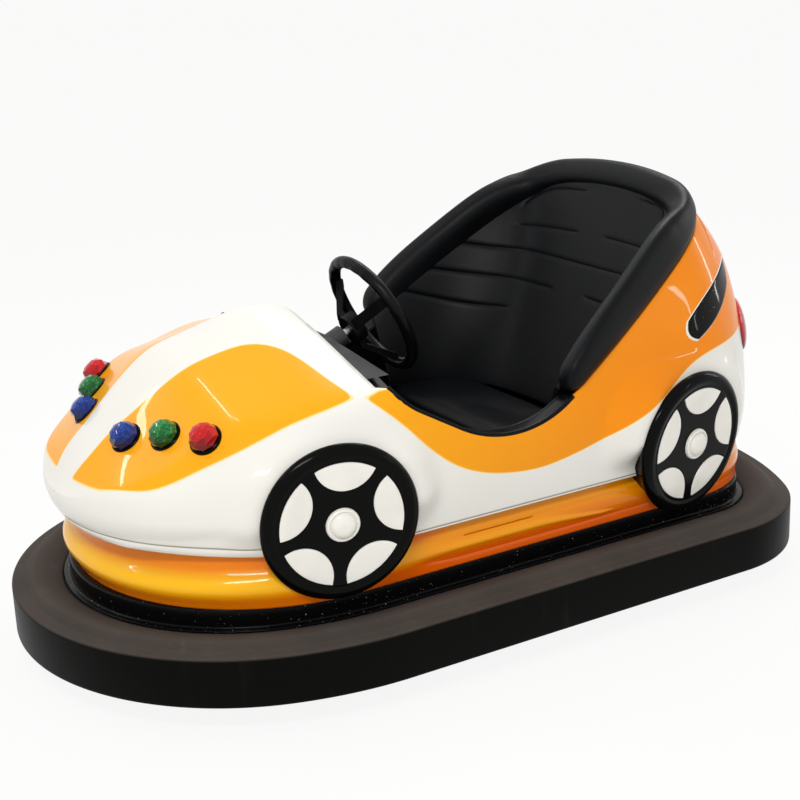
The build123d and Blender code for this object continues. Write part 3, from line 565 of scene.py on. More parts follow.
@dataclass(frozen=True)
class Outline:
    """Closed plan outline of straight sides, corner arcs and tip arcs, all tangent."""

    half_width: float
    nose_y: float
    tail_y: float
    nose_start: float
    tail_start: float
    nose_radius: float
    tail_radius: float

    def end(self, sign: int) -> tuple[float, Array, Array, float, float]:
        """Arcs of one end on the +X side.

        Args:
            sign: -1 for the nose, 1 for the tail.

        Returns:
            Corner radius, tip centre, corner centre, tip radius, angle where the two arcs meet.
        """
        tip_y, start, radius = ((self.nose_y, self.nose_start, self.nose_radius) if sign < 0
                                else (self.tail_y, self.tail_start, self.tail_radius))
        depth, width = abs(tip_y - start), self.half_width
        corner = (2 * depth * radius - depth**2 - width**2) / (2 * (radius - width))
        tip_centre, corner_centre = np.array([0.0, tip_y - sign * radius]), np.array([width - corner, start])
        line = (corner_centre - tip_centre) * (-1 if corner > radius else 1)
        return corner, tip_centre, corner_centre, radius, math.atan2(line[1], line[0])

    def stretches(self) -> list[tuple[Array, float, float, float]]:
        """Half outline from the nose tip by +X to the tail tip: centre, radius, first and last angle.

        Returns:
            Four arcs and, in the middle, the straight side with a radius of 0 and its two y values.
        """
        corner_n, tip_n, centre_n, radius_n, meet_n = self.end(-1)
        corner_t, tip_t, centre_t, radius_t, meet_t = self.end(1)
        side = np.array([self.half_width, 0.0])
        return [(tip_n, radius_n, -math.pi / 2, meet_n), (centre_n, corner_n, meet_n, 0.0),
                (side, 0.0, self.nose_start, self.tail_start),
                (centre_t, corner_t, 0.0, meet_t), (tip_t, radius_t, meet_t, math.pi / 2)]

    def lengths(self) -> Array:
        """Length of each stretch of the half outline."""
        return np.array([(last - first) * (radius or 1.0) for _, radius, first, last in self.stretches()])

    def read(self, stretch: Array, share: Array) -> tuple[Array, Array]:
        """Points and outward normals at a share of a numbered stretch.

        Args:
            stretch: index of the stretch for each point.
            share: share of the way along it.

        Returns:
            (n, 2) points and (n, 2) normals.
        """
        rows = self.stretches()
        centre = np.array([row[0] for row in rows])[stretch]
        radius, first, last = (np.array([row[k] for row in rows])[stretch] for k in (1, 2, 3))
        at = first + (last - first) * share
        straight = radius == 0
        normal = np.stack([np.where(straight, 1.0, np.cos(at)), np.where(straight, 0.0, np.sin(at))], -1)
        points = centre + radius[:, None] * normal
        points[:, 1] = np.where(straight, at, points[:, 1])
        return points, normal

    def locate(self, length: Array) -> tuple[Array, Array]:
        """Stretch index and share of the way for each length from the nose tip.

        Args:
            length: lengths from the nose tip.

        Returns:
            Both, of the lengths' shape.
        """
        parts = self.lengths()
        ends = np.concatenate([[0.0], np.cumsum(parts)])
        stretch = np.clip(np.searchsorted(ends, length, side="right") - 1, 0, len(parts) - 1)
        return stretch, (length - ends[stretch]) / parts[stretch]

    def even(self, count: int) -> tuple[Array, Array]:
        """Points and normals of the half outline at even lengths."""
        return self.read(*self.locate(np.linspace(0.0, self.lengths().sum(), count)))

    def ring(self, profile: Array, count: int, drift: Array | float = 0.0) -> Array:
        """Profile carried all the way round the outline.

        Args:
            profile: (m, 2) rows of inset and height.
            count: stations on each half.
            drift: (2 * count - 2, m) further inset of each point.

        Returns:
            (n, m, 3) grid whose rows wrap.
        """
        points, normals = self.even(count)
        flip = np.array([-1.0, 1.0])
        points = np.concatenate([points, (points * flip)[-2:0:-1]])
        normals = np.concatenate([normals, (normals * flip)[-2:0:-1]])
        inset = profile[None, :, 0] + drift
        flat = points[:, None] - normals[:, None] * inset[..., None]
        height = np.broadcast_to(profile[None, :, 1:], (len(points), len(profile), 1))
        return np.concatenate([flat, height], -1)


RING = Outline(575.0, -975.0, 975.0, -338.0, 597.0, 562.0, 868.0)
BELT = Outline(459.0, -880.0, 880.0, -360.0, 540.0, 440.0, 800.0)
TUCK = Outline(458.0, -868.0, 877.0, -360.0, 540.0, 425.0, 790.0)
LIP = Outline(455.0, -828.0, 864.0, -360.0, 530.0, 400.0, 780.0)
SKIRT = Outline(444.0, -826.0, 848.0, -390.0, 560.0, 600.0, 760.0)
BELT_Z, TUCK_Z, LIP_Z, LIP_NOSE_Z, LIP_RISE_Y = 425.0, 380.0, 327.0, 354.0, -300.0
HOOD_END_Y, TAIL_FRONT_Y, SIDE_TOP_Z = -295.0, 170.0, 648.0
RIDGE_RANGE = (600.0, 730.0)


def lip_lift(y: Array) -> Array:
    """How far the lip lies from its height at LIP_RISE_Y: it rises straight from there to the nose."""
    return (LIP_NOSE_Z - LIP_Z) / (LIP.nose_y - LIP_RISE_Y) * np.minimum(y - LIP_RISE_Y, 0.0)


# Sections of the hood and of the tail: station y, ridge height, side radius, shoulder radius,
# crown radius, slope of the flat flank in degrees
HOOD_SECTIONS = np.array((
    (-879.0, 436.0, 14.0, 4.0, 120.0, 2.0), (-864.0, 458.0, 30.0, 10.0, 120.0, 5.0),
    (-838.0, 499.0, 70.0, 28.0, 130.0, 9.0), (-798.0, 541.0, 130.0, 55.0, 180.0, 13.0),
    (-738.0, 593.0, 230.0, 95.0, 250.0, 17.0), (-668.0, 646.0, 340.0, 130.0, 400.0, 18.0),
    (-596.0, 690.0, 450.0, 150.0, 500.0, 18.0), (-500.0, 719.0, 600.0, 160.0, 400.0, 18.0),
    (-400.0, 740.0, 750.0, 130.0, 400.0, 17.0), (-295.0, 733.0, 850.0, 90.0, 600.0, 15.5)))
TAIL_SECTIONS = np.array((
    (170.0, 985.0, 850.0, 165.0, 900.0, 12.0), (450.0, 985.0, 850.0, 165.0, 900.0, 12.0),
    (560.0, 985.0, 850.0, 165.0, 900.0, 12.0), (640.0, 964.0, 810.0, 165.0, 850.0, 12.0),
    (700.0, 912.0, 740.0, 150.0, 700.0, 12.0), (776.0, 815.0, 640.0, 125.0, 550.0, 12.0),
    (808.0, 755.0, 540.0, 100.0, 450.0, 12.0), (840.0, 672.0, 400.0, 75.0, 350.0, 12.0),
    (862.0, 580.0, 250.0, 50.0, 230.0, 10.0), (878.0, 480.0, 90.0, 20.0, 80.0, 8.0),
    (879.9, 441.0, 24.0, 6.0, 20.0, 8.0)))


class BodyForm:
    """The body's outer surface above the belt, as a function of station y and share from belt to ridge.

    The hood's spine rises over the stations of SPINE_RISE and sinks by a share over the run of SPINE_FALL.
    """

    SPINE_HEIGHT, SPINE_WIDTH = 22.0, 70.0
    SPINE_RISE, SPINE_FALL = (-560.0, -410.0), (-345.0, 50.0, 0.5)
    SAMPLES = 3000
    STEP_Y, STEP_SHARE = 0.5, 0.002

    def __init__(self) -> None:
        """Samples the belt outline, so that its half width can be read at any y."""
        self.belt, _ = BELT.even(self.SAMPLES)

    def columns(self, y: Array) -> tuple[Array, ...]:
        """Half width and section values at stations y.

        The hood's columns are splines of the root of the distance from the nose tip, the tail's of the
        root of the distance from the tail tip, and between them each value runs straight.

        Args:
            y: stations.

        Returns:
            Half width, ridge height, side, shoulder and crown radius, flank slope in radians.
        """
        hood, tail = HOOD_SECTIONS, TAIL_SECTIONS[::-1]
        near, far = np.sqrt(np.maximum(y - BELT.nose_y, 0.0)), np.sqrt(np.maximum(BELT.tail_y - y, 0.0))
        between = np.clip((y - HOOD_END_Y) / (TAIL_FRONT_Y - HOOD_END_Y), 0.0, 1.0)
        columns = [np.interp(y, self.belt[:, 1], self.belt[:, 0])]
        for k in range(1, 6):
            front = spline(np.sqrt(hood[:, 0] - BELT.nose_y), hood[:, k], near)
            rear = spline(np.sqrt(BELT.tail_y - tail[:, 0]), tail[:, k], far)
            columns.append(front * (1 - between) + rear * between)
        columns[-1] = np.radians(columns[-1])
        return tuple(columns)

    def surface(self, y: Array, share: Array, width: Array | None = None) -> Array:
        """Points of the form: side arc, shoulder arc, flat flank and crown arc, by length along them.

        Args:
            y: stations.
            share: share of the way from belt to ridge, of the same shape.
            width: half width at the belt, or None to read it from the outline.

        Returns:
            (..., 3) points.
        """
        y, share = np.broadcast_arrays(y, share)
        half, top, side, shoulder, crown, slope = self.columns(y)
        half = half if width is None else width
        across, up = np.sin(slope), np.cos(slope)
        side_x = half - side
        start_x, start_z = (crown - shoulder) * across - side_x, top - crown + (crown - shoulder) * up - BELT_Z
        along = start_x * up - start_z * across
        run = -along + np.sqrt(np.maximum(along**2 - start_x**2 - start_z**2 + (side - shoulder) ** 2, 0.0))
        shoulder_x, shoulder_z = start_x + run * up + side_x, start_z - run * across + BELT_Z
        turn = np.arctan2(shoulder_z - BELT_Z, shoulder_x - side_x)
        end = math.pi / 2 - slope
        parts = [side * turn, shoulder * (end - turn), run, crown * slope]
        rest = share * sum(parts)
        angle = np.clip(rest, 0.0, parts[0]) / side
        x, z = side_x + side * np.cos(angle), BELT_Z + side * np.sin(angle)
        rest = rest - parts[0]
        angle = turn + np.clip(rest, 0.0, parts[1]) / shoulder
        on = rest > 0
        x, z = (np.where(on, shoulder_x + shoulder * np.cos(angle), x),
                np.where(on, shoulder_z + shoulder * np.sin(angle), z))
        rest = rest - parts[1]
        on = rest > 0
        gone = np.clip(rest, 0.0, parts[2])
        x = np.where(on, shoulder_x + shoulder * across - gone * up, x)
        z = np.where(on, shoulder_z + shoulder * up + gone * across, z)
        rest = rest - parts[2]
        on = rest > 0
        angle = end + np.clip(rest, 0.0, parts[3]) / crown
        x, z = np.where(on, crown * np.cos(angle), x), np.where(on, top - crown + crown * np.sin(angle), z)
        start, reach, sink = self.SPINE_FALL
        rise = smoothstep(y, *self.SPINE_RISE) * (1 - sink * np.clip((y - start) / reach, 0.0, 1.0) ** 2)
        rise = np.where(y < HOOD_END_Y + 5, rise, 0.0) * self.SPINE_HEIGHT
        return np.stack([x, y, z + rise * np.exp(-((x / self.SPINE_WIDTH) ** 2))], -1)

    def share_at(self, y: Array, z: Array) -> Array:
        """Share from belt to ridge at which the form has height z."""
        shape = np.broadcast(y, z).shape
        return halved(lambda share: self.surface(y, share)[..., 2] < z, np.zeros(shape), np.ones(shape))

    def normal(self, y: Array, share: Array) -> Array:
        """Outward unit normals, from differences over two steps of y and of the share.

        Args:
            y: stations.
            share: share of the way from belt to ridge.

        Returns:
            (..., 3) normals.
        """
        share = np.clip(share, self.STEP_SHARE, 1.0 - self.STEP_SHARE)
        along = self.surface(y + self.STEP_Y, share) - self.surface(y - self.STEP_Y, share)
        up = self.surface(y, share + self.STEP_SHARE) - self.surface(y, share - self.STEP_SHARE)
        normal = np.cross(along, up)
        return normal / np.linalg.norm(normal, axis=-1, keepdims=True)

    def laid(self, y: Array, z: Array, lift: Array | float) -> Array:
        """Points at (y, z) on the left side, lifted off the surface along its normal."""
        share = self.share_at(y, z)
        return self.surface(y, share) + self.normal(y, share) * np.asarray(lift)[..., None]


FORM = BodyForm()


@dataclass(frozen=True)
class CockpitEdge:
    """The opening's edge, seen from the side: a polyline of (y, height) with rounded corners."""

    corners: Line = ((-295.0, 1300.0), (-295.0, 640.0), (25.0, 455.0), (655.0, 868.0), (735.0, 1020.0))
    radii: tuple[float, ...] = (150.0, 280.0, 200.0)
    steps: int = 40

    def line(self) -> Array:
        """Points of the curve: arcs tangent to both runs at each inner corner, and the last corner.

        Returns:
            (n, 2) array of y and height.
        """
        points = np.asarray(self.corners)
        rows = []
        for before, corner, after, radius in zip(points, points[1:], points[2:], self.radii):
            into, out = ((p - corner) / np.linalg.norm(p - corner) for p in (before, after))
            half = math.acos(float(into @ out)) / 2
            centre = corner + (into + out) / np.linalg.norm(into + out) * radius / math.sin(half)
            ends = [corner + side * radius / math.tan(half) - centre for side in (into, out)]
            first, last = (math.atan2(end[1], end[0]) for end in ends)
            sweep = (last - first + math.pi) % (2 * math.pi) - math.pi
            angle = first + sweep * np.linspace(0.0, 1.0, self.steps)
            rows.append(centre + radius * np.stack([np.cos(angle), np.sin(angle)], -1))
        return np.concatenate([*rows, points[-1:]])

    def height(self, y: Array) -> Array:
        """Height of the edge at stations y."""
        line = self.line()
        return np.interp(y, line[:, 0], line[:, 1])


EDGE = CockpitEdge()
LINE_SAMPLES = 1500
ROUGHLY_UP = (0.0, -0.45, 0.9)


def rim_path(count: int, first_y: float, last_y: float | None = None) -> tuple[Array, Array, Array]:
    """Frames along the opening's edge on the body's left side.

    Args:
        count: number of frames.
        first_y: station of the first frame.
        last_y: station of the last, or None to end on the ridge of the tail.

    Returns:
        Points, outward normals of the body, and directions up off the edge, each (count, 3).
    """
    line = EDGE.line()
    line = line[np.concatenate([[True], np.diff(line[:, 0]) > 1e-6])]
    y = np.linspace(first_y, ridge_meeting() if last_y is None else last_y, LINE_SAMPLES)
    z = np.interp(y, line[:, 0], line[:, 1])
    share = FORM.share_at(y, z)
    if last_y is None:
        share[-1] = 1.0
    points = FORM.surface(y, share)
    rows = even(np.concatenate([points, FORM.normal(y, share), y[:, None]], 1), count)
    points, normals = rows[:, :3], rows[:, 3:6]
    points = even(points, count)
    along = np.gradient(points, axis=0)
    along /= np.linalg.norm(along, axis=1, keepdims=True)
    normals = normals - (normals * along).sum(1, keepdims=True) * along
    normals /= np.linalg.norm(normals, axis=1, keepdims=True)
    up = np.cross(normals, along)
    up *= np.where((up * ROUGHLY_UP).sum(1, keepdims=True) < 0, -1.0, 1.0)
    return points, normals, up


def ridge_meeting() -> float:
    """Station at which the opening's edge reaches the tail's ridge."""
    return float(halved(lambda y: EDGE.height(y) < FORM.surface(y, np.array(1.0))[2], *np.array(RIDGE_RANGE)))


@dataclass(frozen=True)
class ShellPaint:
    """Gloss white shell with orange panels; the mesh carries "panel" (mm inside a panel) and a value that marks the
    groove above the lip, where the paint lays a dark line of painted shade.
    """

    white: Colour = srgb(240, 238, 230)
    front_orange: Colour = srgb(254, 176, 12)
    rear_orange: Colour = srgb(252, 140, 2)
    # pale cream of the painted highlight along the panels' edges
    outline: Colour = srgb(255, 222, 140)
    # dark olive of the painted shade along the groove above the lip
    seam: Colour = srgb(120, 112, 84)
    shade: Colour = srgb(232, 225, 214)

    def make(self) -> Material:
        """Paint whose orange deepens towards the tail, with a fine pale line of painted highlight round each panel
        and a dark line of painted shade along the groove above the lip.

        Returns:
            The material.
        """
        shader = Shader("shell_paint")
        panel = shader.value("panel")
        drift = shader.noise(3.0, 2.0) * 0.25 + shader.axis(1).rise(-0.5, 0.55) * 0.85
        orange = shader.mix(drift.math("MINIMUM", 1.0), self.front_orange, self.rear_orange)
        white = shader.mix(shader.noise(2.4, 2.0).rise(0.35, 0.75) * 0.25, self.white, self.shade)
        paint = shader.mix(panel.rise(-0.5, 0.5), white, orange)
        # painted highlight: a fine pale line along each panel's edge
        line = panel.rise(-2.6, -1.2) * panel.rise(1.6, 0.4)
        paint = shader.mix(line * 0.75, paint, self.outline)
        # painted shade: a dark line along the groove above the lip
        paint = shader.mix(shader.value("seam") * 0.8, paint, self.seam)
        scuff = shader.noise(160.0, 2.0).rise(0.6, 0.9)
        shader.bump(shader.noise(14.0, 2.0), 0.0006, 0.12)
        shader.set(Base_Color=paint, Roughness=scuff * 0.1 + 0.25, Specular_IOR_Level=0.08,
                   Coat_Weight=0.4, Coat_IOR=1.36, Coat_Roughness=0.02)
        return shader.material


@dataclass(frozen=True)
class SkirtPaint:
    """Gloss orange moulding, with painted light on its bulge and blade and painted shade in its tucks and crease."""

    # orange of the painted light on the bulge and the blade
    lit_orange: Colour = srgb(255, 190, 14)
    # orange of the painted shade in the tucks and the crease
    deep: Colour = srgb(236, 98, 2)
    dust: Colour = srgb(120, 60, 20)

    def make(self) -> Material:
        """Orange from the mesh's "depth" value, a painted shade that is dark in the tucks and light on the bulge, and
        deeper towards the rear.

        Returns:
            The material.
        """
        shader = Shader("skirt_paint")
        # painted shade from the mesh, and darker towards the rear
        depth = shader.value("depth") * 0.8 + shader.axis(1).rise(-0.75, -0.15) * 0.4
        colour = shader.mix(depth.math("MINIMUM", 1.0), self.lit_orange, self.deep)
        dust = shader.axis(2).rise(0.25, 0.225) * shader.noise(30.0).rise(0.4, 0.7)
        colour = shader.mix(dust * 0.12, colour, self.dust)
        shader.set(Base_Color=colour, Roughness=dust * 0.2 + 0.22, Specular_IOR_Level=0.1,
                   Coat_Weight=0.5, Coat_IOR=1.38, Coat_Roughness=0.03)
        return shader.material


@dataclass(frozen=True)
class DustyRubber:
    """Black moulded rubber whose upper faces hold brown dust and scuffs."""

    wall: Colour = srgb(6, 6, 5)
    dust: Colour = srgb(80, 73, 68)
    rubbed: Colour = srgb(112, 104, 96)

    def make(self) -> Material:
        """Rubber black on its wall and dusty brown on faces that look up.

        Returns:
            The material.
        """
        shader = Shader("dusty_rubber")
        cloud, grain = shader.noise(7.0, 4.0), shader.noise(420.0, 2.0)
        amount = shader.facing_up().rise(0.15, 0.95) * (cloud * 0.5 + 0.62)
        streak = shader.noise(22.0, 3.0, (1.0, 1.0, 0.15)).rise(0.58, 0.8) * 0.07
        rubbed = shader.noise(55.0, 3.0).rise(0.62, 0.8) * 0.25
        colour = shader.mix((amount + streak).math("MINIMUM", 1.0), self.wall, self.dust)
        colour = shader.mix(rubbed * amount, colour, self.rubbed)
        shader.bump(grain * 0.4 + shader.noise(60.0, 3.0) * 0.6, 0.0016, 0.35)
        shader.set(Base_Color=colour, Roughness=amount * 0.3 + 0.4, Specular_IOR_Level=0.05)
        return shader.material


@dataclass(frozen=True)
class GlossMoulding:
    """Glossy self-coloured moulding with fine dust."""

    name: str
    colour: Colour
    specks: float = 0.0
    roughness: float = 0.14
    shine: float = 0.5
    dust: Colour = srgb(190, 186, 176)

    def make(self) -> Material:
        """Plain gloss with pale specks and a faint ripple.

        Returns:
            The material.
        """
        shader = Shader(self.name)
        speck = shader.noise(260.0, 1.0).rise(0.74, 0.8) * self.specks
        cloud = shader.noise(9.0, 3.0).rise(0.35, 0.75)
        darker = tuple(level * 0.9 for level in self.colour)
        colour = shader.mix(cloud, self.colour, darker)
        colour = shader.mix(speck.math("MINIMUM", 1.0), colour, self.dust)
        shader.bump(shader.noise(24.0, 2.0), 0.0005, 0.15)
        shader.set(Base_Color=colour, Roughness=cloud * 0.08 + self.roughness, Specular_IOR_Level=self.shine)
        return shader.material


@dataclass(frozen=True)
class Vinyl:
    """Satin black covered foam."""

    name: str = "seat_vinyl"
    colour: Colour = srgb(9, 10, 12)
    roughness: float = 0.33

    def make(self) -> Material:
        """Leathercloth: fine pebble grain, paler and rougher where it is worn.

        Returns:
            The material.
        """
        shader = Shader(self.name)
        cells = shader.node("ShaderNodeTexVoronoi", {"feature": "DISTANCE_TO_EDGE"},
                            {"Vector": shader.place(), "Scale": 420.0})
        worn = shader.noise(6.0, 3.0).rise(0.3, 0.75)
        colour = shader.mix(worn, self.colour, tuple(level * 1.35 for level in self.colour))
        shader.bump(cells.rise(0.0, 0.25) * 0.6 + shader.noise(900.0, 1.0) * 0.4, 0.0007, 0.22)
        shader.set(Base_Color=colour, Roughness=worn * 0.1 + self.roughness, Specular_IOR_Level=0.11)
        return shader.material


@dataclass(frozen=True)
class SatinMoulding:
    """Satin moulding with a fine spark-eroded grain."""

    name: str
    colour: Colour
    roughness: float = 0.38

    def make(self) -> Material:
        """Satin colour with light dust in it.

        Returns:
            The material.
        """
        shader = Shader(self.name)
        cloud = shader.noise(11.0, 3.0).rise(0.35, 0.8)
        dusty = tuple(level * 1.6 + 0.002 for level in self.colour)
        colour = shader.mix(cloud * 0.6, self.colour, dusty)
        shader.bump(shader.noise(650.0, 2.0), 0.0005, 0.25)
        shader.set(Base_Color=colour, Roughness=cloud * 0.12 + self.roughness, Specular_IOR_Level=0.1)
        return shader.material


@dataclass(frozen=True)
class LampPlastic:
    """Clear coloured lens with cut facets behind it."""

    name: str
    colour: Colour
    light: Colour

    def make(self) -> Material:
        """Lens whose cells glint between its deep and its light colour as a painted glint, with painted shade on the
        faces that look down.

        Returns:
            The material.
        """
        shader = Shader(self.name)
        cells = shader.node("ShaderNodeTexVoronoi", {"feature": "F1"},
                            {"Vector": shader.place(), "Scale": 240.0}, "Color")
        # painted glint: the facet cells lighter at random
        glint = shader.part(cells, 0).rise(0.45, 1.0)
        colour = shader.mix(glint * 0.5, self.colour, self.light)
        # painted shade: faces that look down are darker
        shade = shader.facing_up().rise(-0.5, 0.75)
        colour = shader.mix(shade, tuple(level * 0.25 for level in self.colour), colour)
        shader.bump(glint, 0.0006, 0.12)
        shader.set(Base_Color=colour, Roughness=0.1, Specular_IOR_Level=0.2,
                   Coat_Weight=0.4, Coat_IOR=1.4, Coat_Roughness=0.01)
        return shader.material


@dataclass(frozen=True)
class Metal:
    """Steel or casting: painted, bare or as cast."""

    name: str
    colour: Colour
    metallic: float
    roughness: float
    grain: float = 300.0

    def make(self) -> Material:
        """Metal with grain, light scratches and dusty places.

        Returns:
            The material.
        """
        shader = Shader(self.name)
        cloud, fine = shader.noise(18.0, 4.0).rise(0.4, 0.8), shader.noise(self.grain, 2.0)
        colour = shader.mix(cloud * 0.5, self.colour, tuple(level * 0.6 + 0.02 for level in self.colour))
        shader.bump(fine, 0.0006, 0.3)
        shader.set(Base_Color=colour, Metallic=self.metallic, Roughness=cloud * 0.2 + self.roughness)
        return shader.material


DISC_PLACES = {"front": ((473.0, -435.0, 402.0), -10.0, -3.0), "rear": ((484.0, 503.0, 382.5), 10.5, -6.0)}


def disc_turn(yaw: float, lean: float) -> Matrix:
    """Turn of a side disc: about Y by 90 degrees less the lean, then about Z by the yaw."""
    return Matrix.Rotation(math.radians(yaw), 3, "Z") @ Matrix.Rotation(math.radians(90 - lean), 3, "Y")


@dataclass
class BodyShell:
    """Moulded shell from lip to ridge: hood, doors and tail in one skin, with its paint areas."""

    wall: float = 10.0
    stations: int = 200
    side_rows: int = 46
    crown_rows: int = 22
    lip_rows: tuple[float, ...] = (0.0, 1.5, 4.0, 5.2, 6.6, 8.0, 11.0)
    lip_insets: tuple[float, ...] = (2.0, 0.3, 0.0, 1.6, 1.6, 0.0, 0.0)
    lip_rise: float = 12.0
    lip_rise_range: tuple[float, float] = (-480.0, -330.0)
    groove: float = 1.6
    tuck_rows: int = 14
    close_range: tuple[float, float] = (640.0, 715.0)
    close_stations: int = 26
    least_gap: float = 1.5
    arch_radius: float = 178.0
    arch_reach: float = 80.0
    arch_gap: float = 17.0
    arch_depth: float = 90.0
    arch_band: tuple[float, float, float, float] = (340.0, 430.0, 500.0, 600.0)
    paint_shift: Triple = (0.0, 0.59, -0.36)
    side_top_cosine: float = 0.98
    hood_edge: Line = (
        (44.0, -900.0), (46.0, -856.0), (57.0, -827.0), (61.0, -784.0), (75.0, -726.0), (89.0, -671.0),
        (99.0, -612.0), (103.0, -549.0), (106.0, -501.0), (124.0, -447.0), (161.0, -411.0), (231.0, -385.0),
        (314.0, -371.0), (396.0, -354.0), (480.0, -337.0), (800.0, -270.0))
    hood_base: Line = (
        (-870.0, 469.0), (-854.0, 470.0), (-844.0, 473.0), (-823.0, 481.0), (-776.0, 489.0), (-744.0, 500.0),
        (-686.0, 530.0), (-608.0, 567.0), (-474.0, 611.0), (-354.0, 639.0), (-200.0, 667.0))
    side_base: Line = (
        (-400.0, 712.0), (-327.0, 634.0), (-260.0, 570.0), (-189.0, 497.0), (-96.0, 439.0), (0.0, 415.0),
        (80.0, 410.0), (150.0, 418.0), (253.0, 441.0), (404.0, 501.0), (524.0, 568.0), (681.0, 595.0),
        (760.0, 605.0), (880.0, 610.0))
    side_top: Line = ((-400.0, 622.0), (-327.0, 636.0), (-267.0, 649.0), (-200.0, 1500.0))

    def station_lengths(self) -> Array:
        """Stations along the belt, closer where the edge reaches the ridge, with one at the hood's end.

        Returns:
            Rising lengths from the nose tip.
        """
        length = np.linspace(0.0, BELT.lengths().sum(), FORM.SAMPLES)
        total, y = length[-1], FORM.belt[:, 1]
        close = np.interp(np.linspace(*self.close_range, self.close_stations), y, length)
        lengths = np.sort(np.concatenate([np.linspace(0.0, total, self.stations), close]))
        lengths = lengths[np.concatenate([[True], np.diff(lengths) > self.least_gap])]
        for mark in (HOOD_END_Y, ridge_meeting()):
            at = np.interp(mark, y, length)
            lengths[np.abs(lengths - at).argmin()] = at
        lengths[-1] = total
        return lengths

    def skirting(self, stretch: Array, share: Array) -> tuple[Array, Array]:
        """Points from the lip up to the belt.

        The inset from the belt is a t^2 + b t^3, t being the depth below it, so that it stands upright
        there and passes through the tuck and the lip. A groove runs above the lip.

        Args:
            stretch: stretch of the outline for each station.
            share: share of the way along it.

        Returns:
            (n, m, 3) grid and the share of the groove on it, which the paint darkens as painted shade.
        """
        (belt, normal), (tuck, _), (lip, _) = (line.read(stretch, share) for line in (BELT, TUCK, LIP))
        near, far = BELT_Z - TUCK_Z, BELT_Z - LIP_Z
        base = near**2 * far**3 - far**2 * near**3
        square = ((tuck - belt) * far**3 - (lip - belt) * near**3) / base
        cube = ((lip - belt) * near**2 - (tuck - belt) * far**2) / base
        raised = (np.arange(len(self.lip_rows)) > 1) * self.lip_rise
        fixed = np.asarray(self.lip_rows) + raised * (1 - smoothstep(belt[:, 1:], *self.lip_rise_range))
        fixed = LIP_Z + lip_lift(lip[:, 1])[:, None] + fixed
        rest = np.linspace(0.0, 1.0, self.tuck_rows + 1)[1:]
        height = np.concatenate([fixed, fixed[:, -1:] + (BELT_Z - fixed[:, -1:]) * rest], 1)
        depth = (BELT_Z - height)[..., None]
        inset = np.concatenate([self.lip_insets, np.zeros(len(rest))])
        flat = (belt[:, None] + square[:, None] * depth**2 + cube[:, None] * depth**3
                - normal[:, None] * inset[None, :, None])
        groove = np.broadcast_to(inset == self.groove, height.shape) * 1.0
        return np.concatenate([flat, height[..., None]], -1), groove

    def panel(self, points: Array) -> Array:
        """Distance inside the orange panels, in mm, negative outside them.

        The hood's panel lies outboard of a line in the plan and above a line in the side view; the side's
        lies between two lines in the side view.

        Args:
            points: (..., 3) points.

        Returns:
            The larger of the two panels' distances.
        """
        x, y, z = np.abs(points[..., 0]), points[..., 1], points[..., 2]
        edge = smooth_line(self.hood_edge, 70)
        base, low, top = (np.asarray(line) for line in (self.hood_base, self.side_base, self.side_top))

        def above(line: Array) -> Array:
            """Distance above a line of (y, z), as height over it times the cosine of its slope.

            Args:
                line: (n, 2) points of it.

            Returns:
                The distance at each point.
            """
            step = 2.0
            level, ahead = (spline(line[:, 0], line[:, 1], y + shift) for shift in (0.0, step))
            return (z - level) / np.hypot(1.0, (ahead - level) / step)
        hood = np.minimum(line_distance(np.stack([x, y], -1), edge), above(base))
        side = np.minimum(above(low), (np.interp(y, top[:, 0], top[:, 1]) - z) * self.side_top_cosine)
        return np.maximum(hood, side)

    def arch(self, points: Array) -> tuple[Array, Array]:
        """Points pushed out along each disc's axis, so that the shell swells to meet the disc's edge.

        The push brings a point up to a gap below the disc's face. A share that falls smoothly from 1 at
        the disc's edge to 0 a reach further out scales it, and so does one that is 1 in a band of heights.

        Args:
            points: (..., 3) points of the left side.

        Returns:
            The moved points, and the length of each push.
        """
        z = points[..., 2]
        level = smoothstep(z, *self.arch_band[:2]) * (1.0 - smoothstep(z, *self.arch_band[2:]))
        total = np.zeros(points.shape[:-1])
        for centre, yaw, lean in DISC_PLACES.values():
            turn = np.array(disc_turn(yaw, lean))
            local = (points - np.asarray(centre)) @ turn
            out, deep = np.hypot(local[..., 0], local[..., 1]), -local[..., 2]
            share = 1.0 - smoothstep(out, self.arch_radius, self.arch_radius + self.arch_reach)
            push = np.maximum(deep - self.arch_gap, 0.0) * share * (deep < self.arch_depth) * level
            points, total = points + push[..., None] * turn[:, 2], total + push
        return points, total

    def build(self, material: Material) -> Piece:
        """Lays the three grids, mirrors them and gives the skin its wall.

        Args:
            material: the paint.

        Returns:
            The shell.
        """
        stretch, share = BELT.locate(self.station_lengths())
        share = np.clip(share, 0.0, 1.0)
        belt, _ = BELT.read(stretch, share)
        y, width = belt[:, 1], np.maximum(belt[:, 0], 0.0)
        corner = float(FORM.share_at(np.array(HOOD_END_Y), np.array(SIDE_TOP_Z)))
        hood, closed = y <= HOOD_END_Y + 1e-6, y > ridge_meeting() - 0.01
        top = FORM.share_at(y, np.minimum(EDGE.height(y), np.where(y < 0, SIDE_TOP_Z, np.inf)))
        top = np.where(hood, corner, np.where(closed, 1.0, top))
        low, seam = self.skirting(stretch, share)
        side = FORM.surface(y[:, None], np.linspace(0.0, 1.0, self.side_rows) * top[:, None], width[:, None])
        crown = FORM.surface(y[hood, None], np.linspace(corner, 1.0, self.crown_rows)[None], width[hood, None])
        skin = Skin("body_shell")
        side[..., 0], crown[..., 0] = np.maximum(side[..., 0], 0.0), np.maximum(crown[..., 0], 0.0)
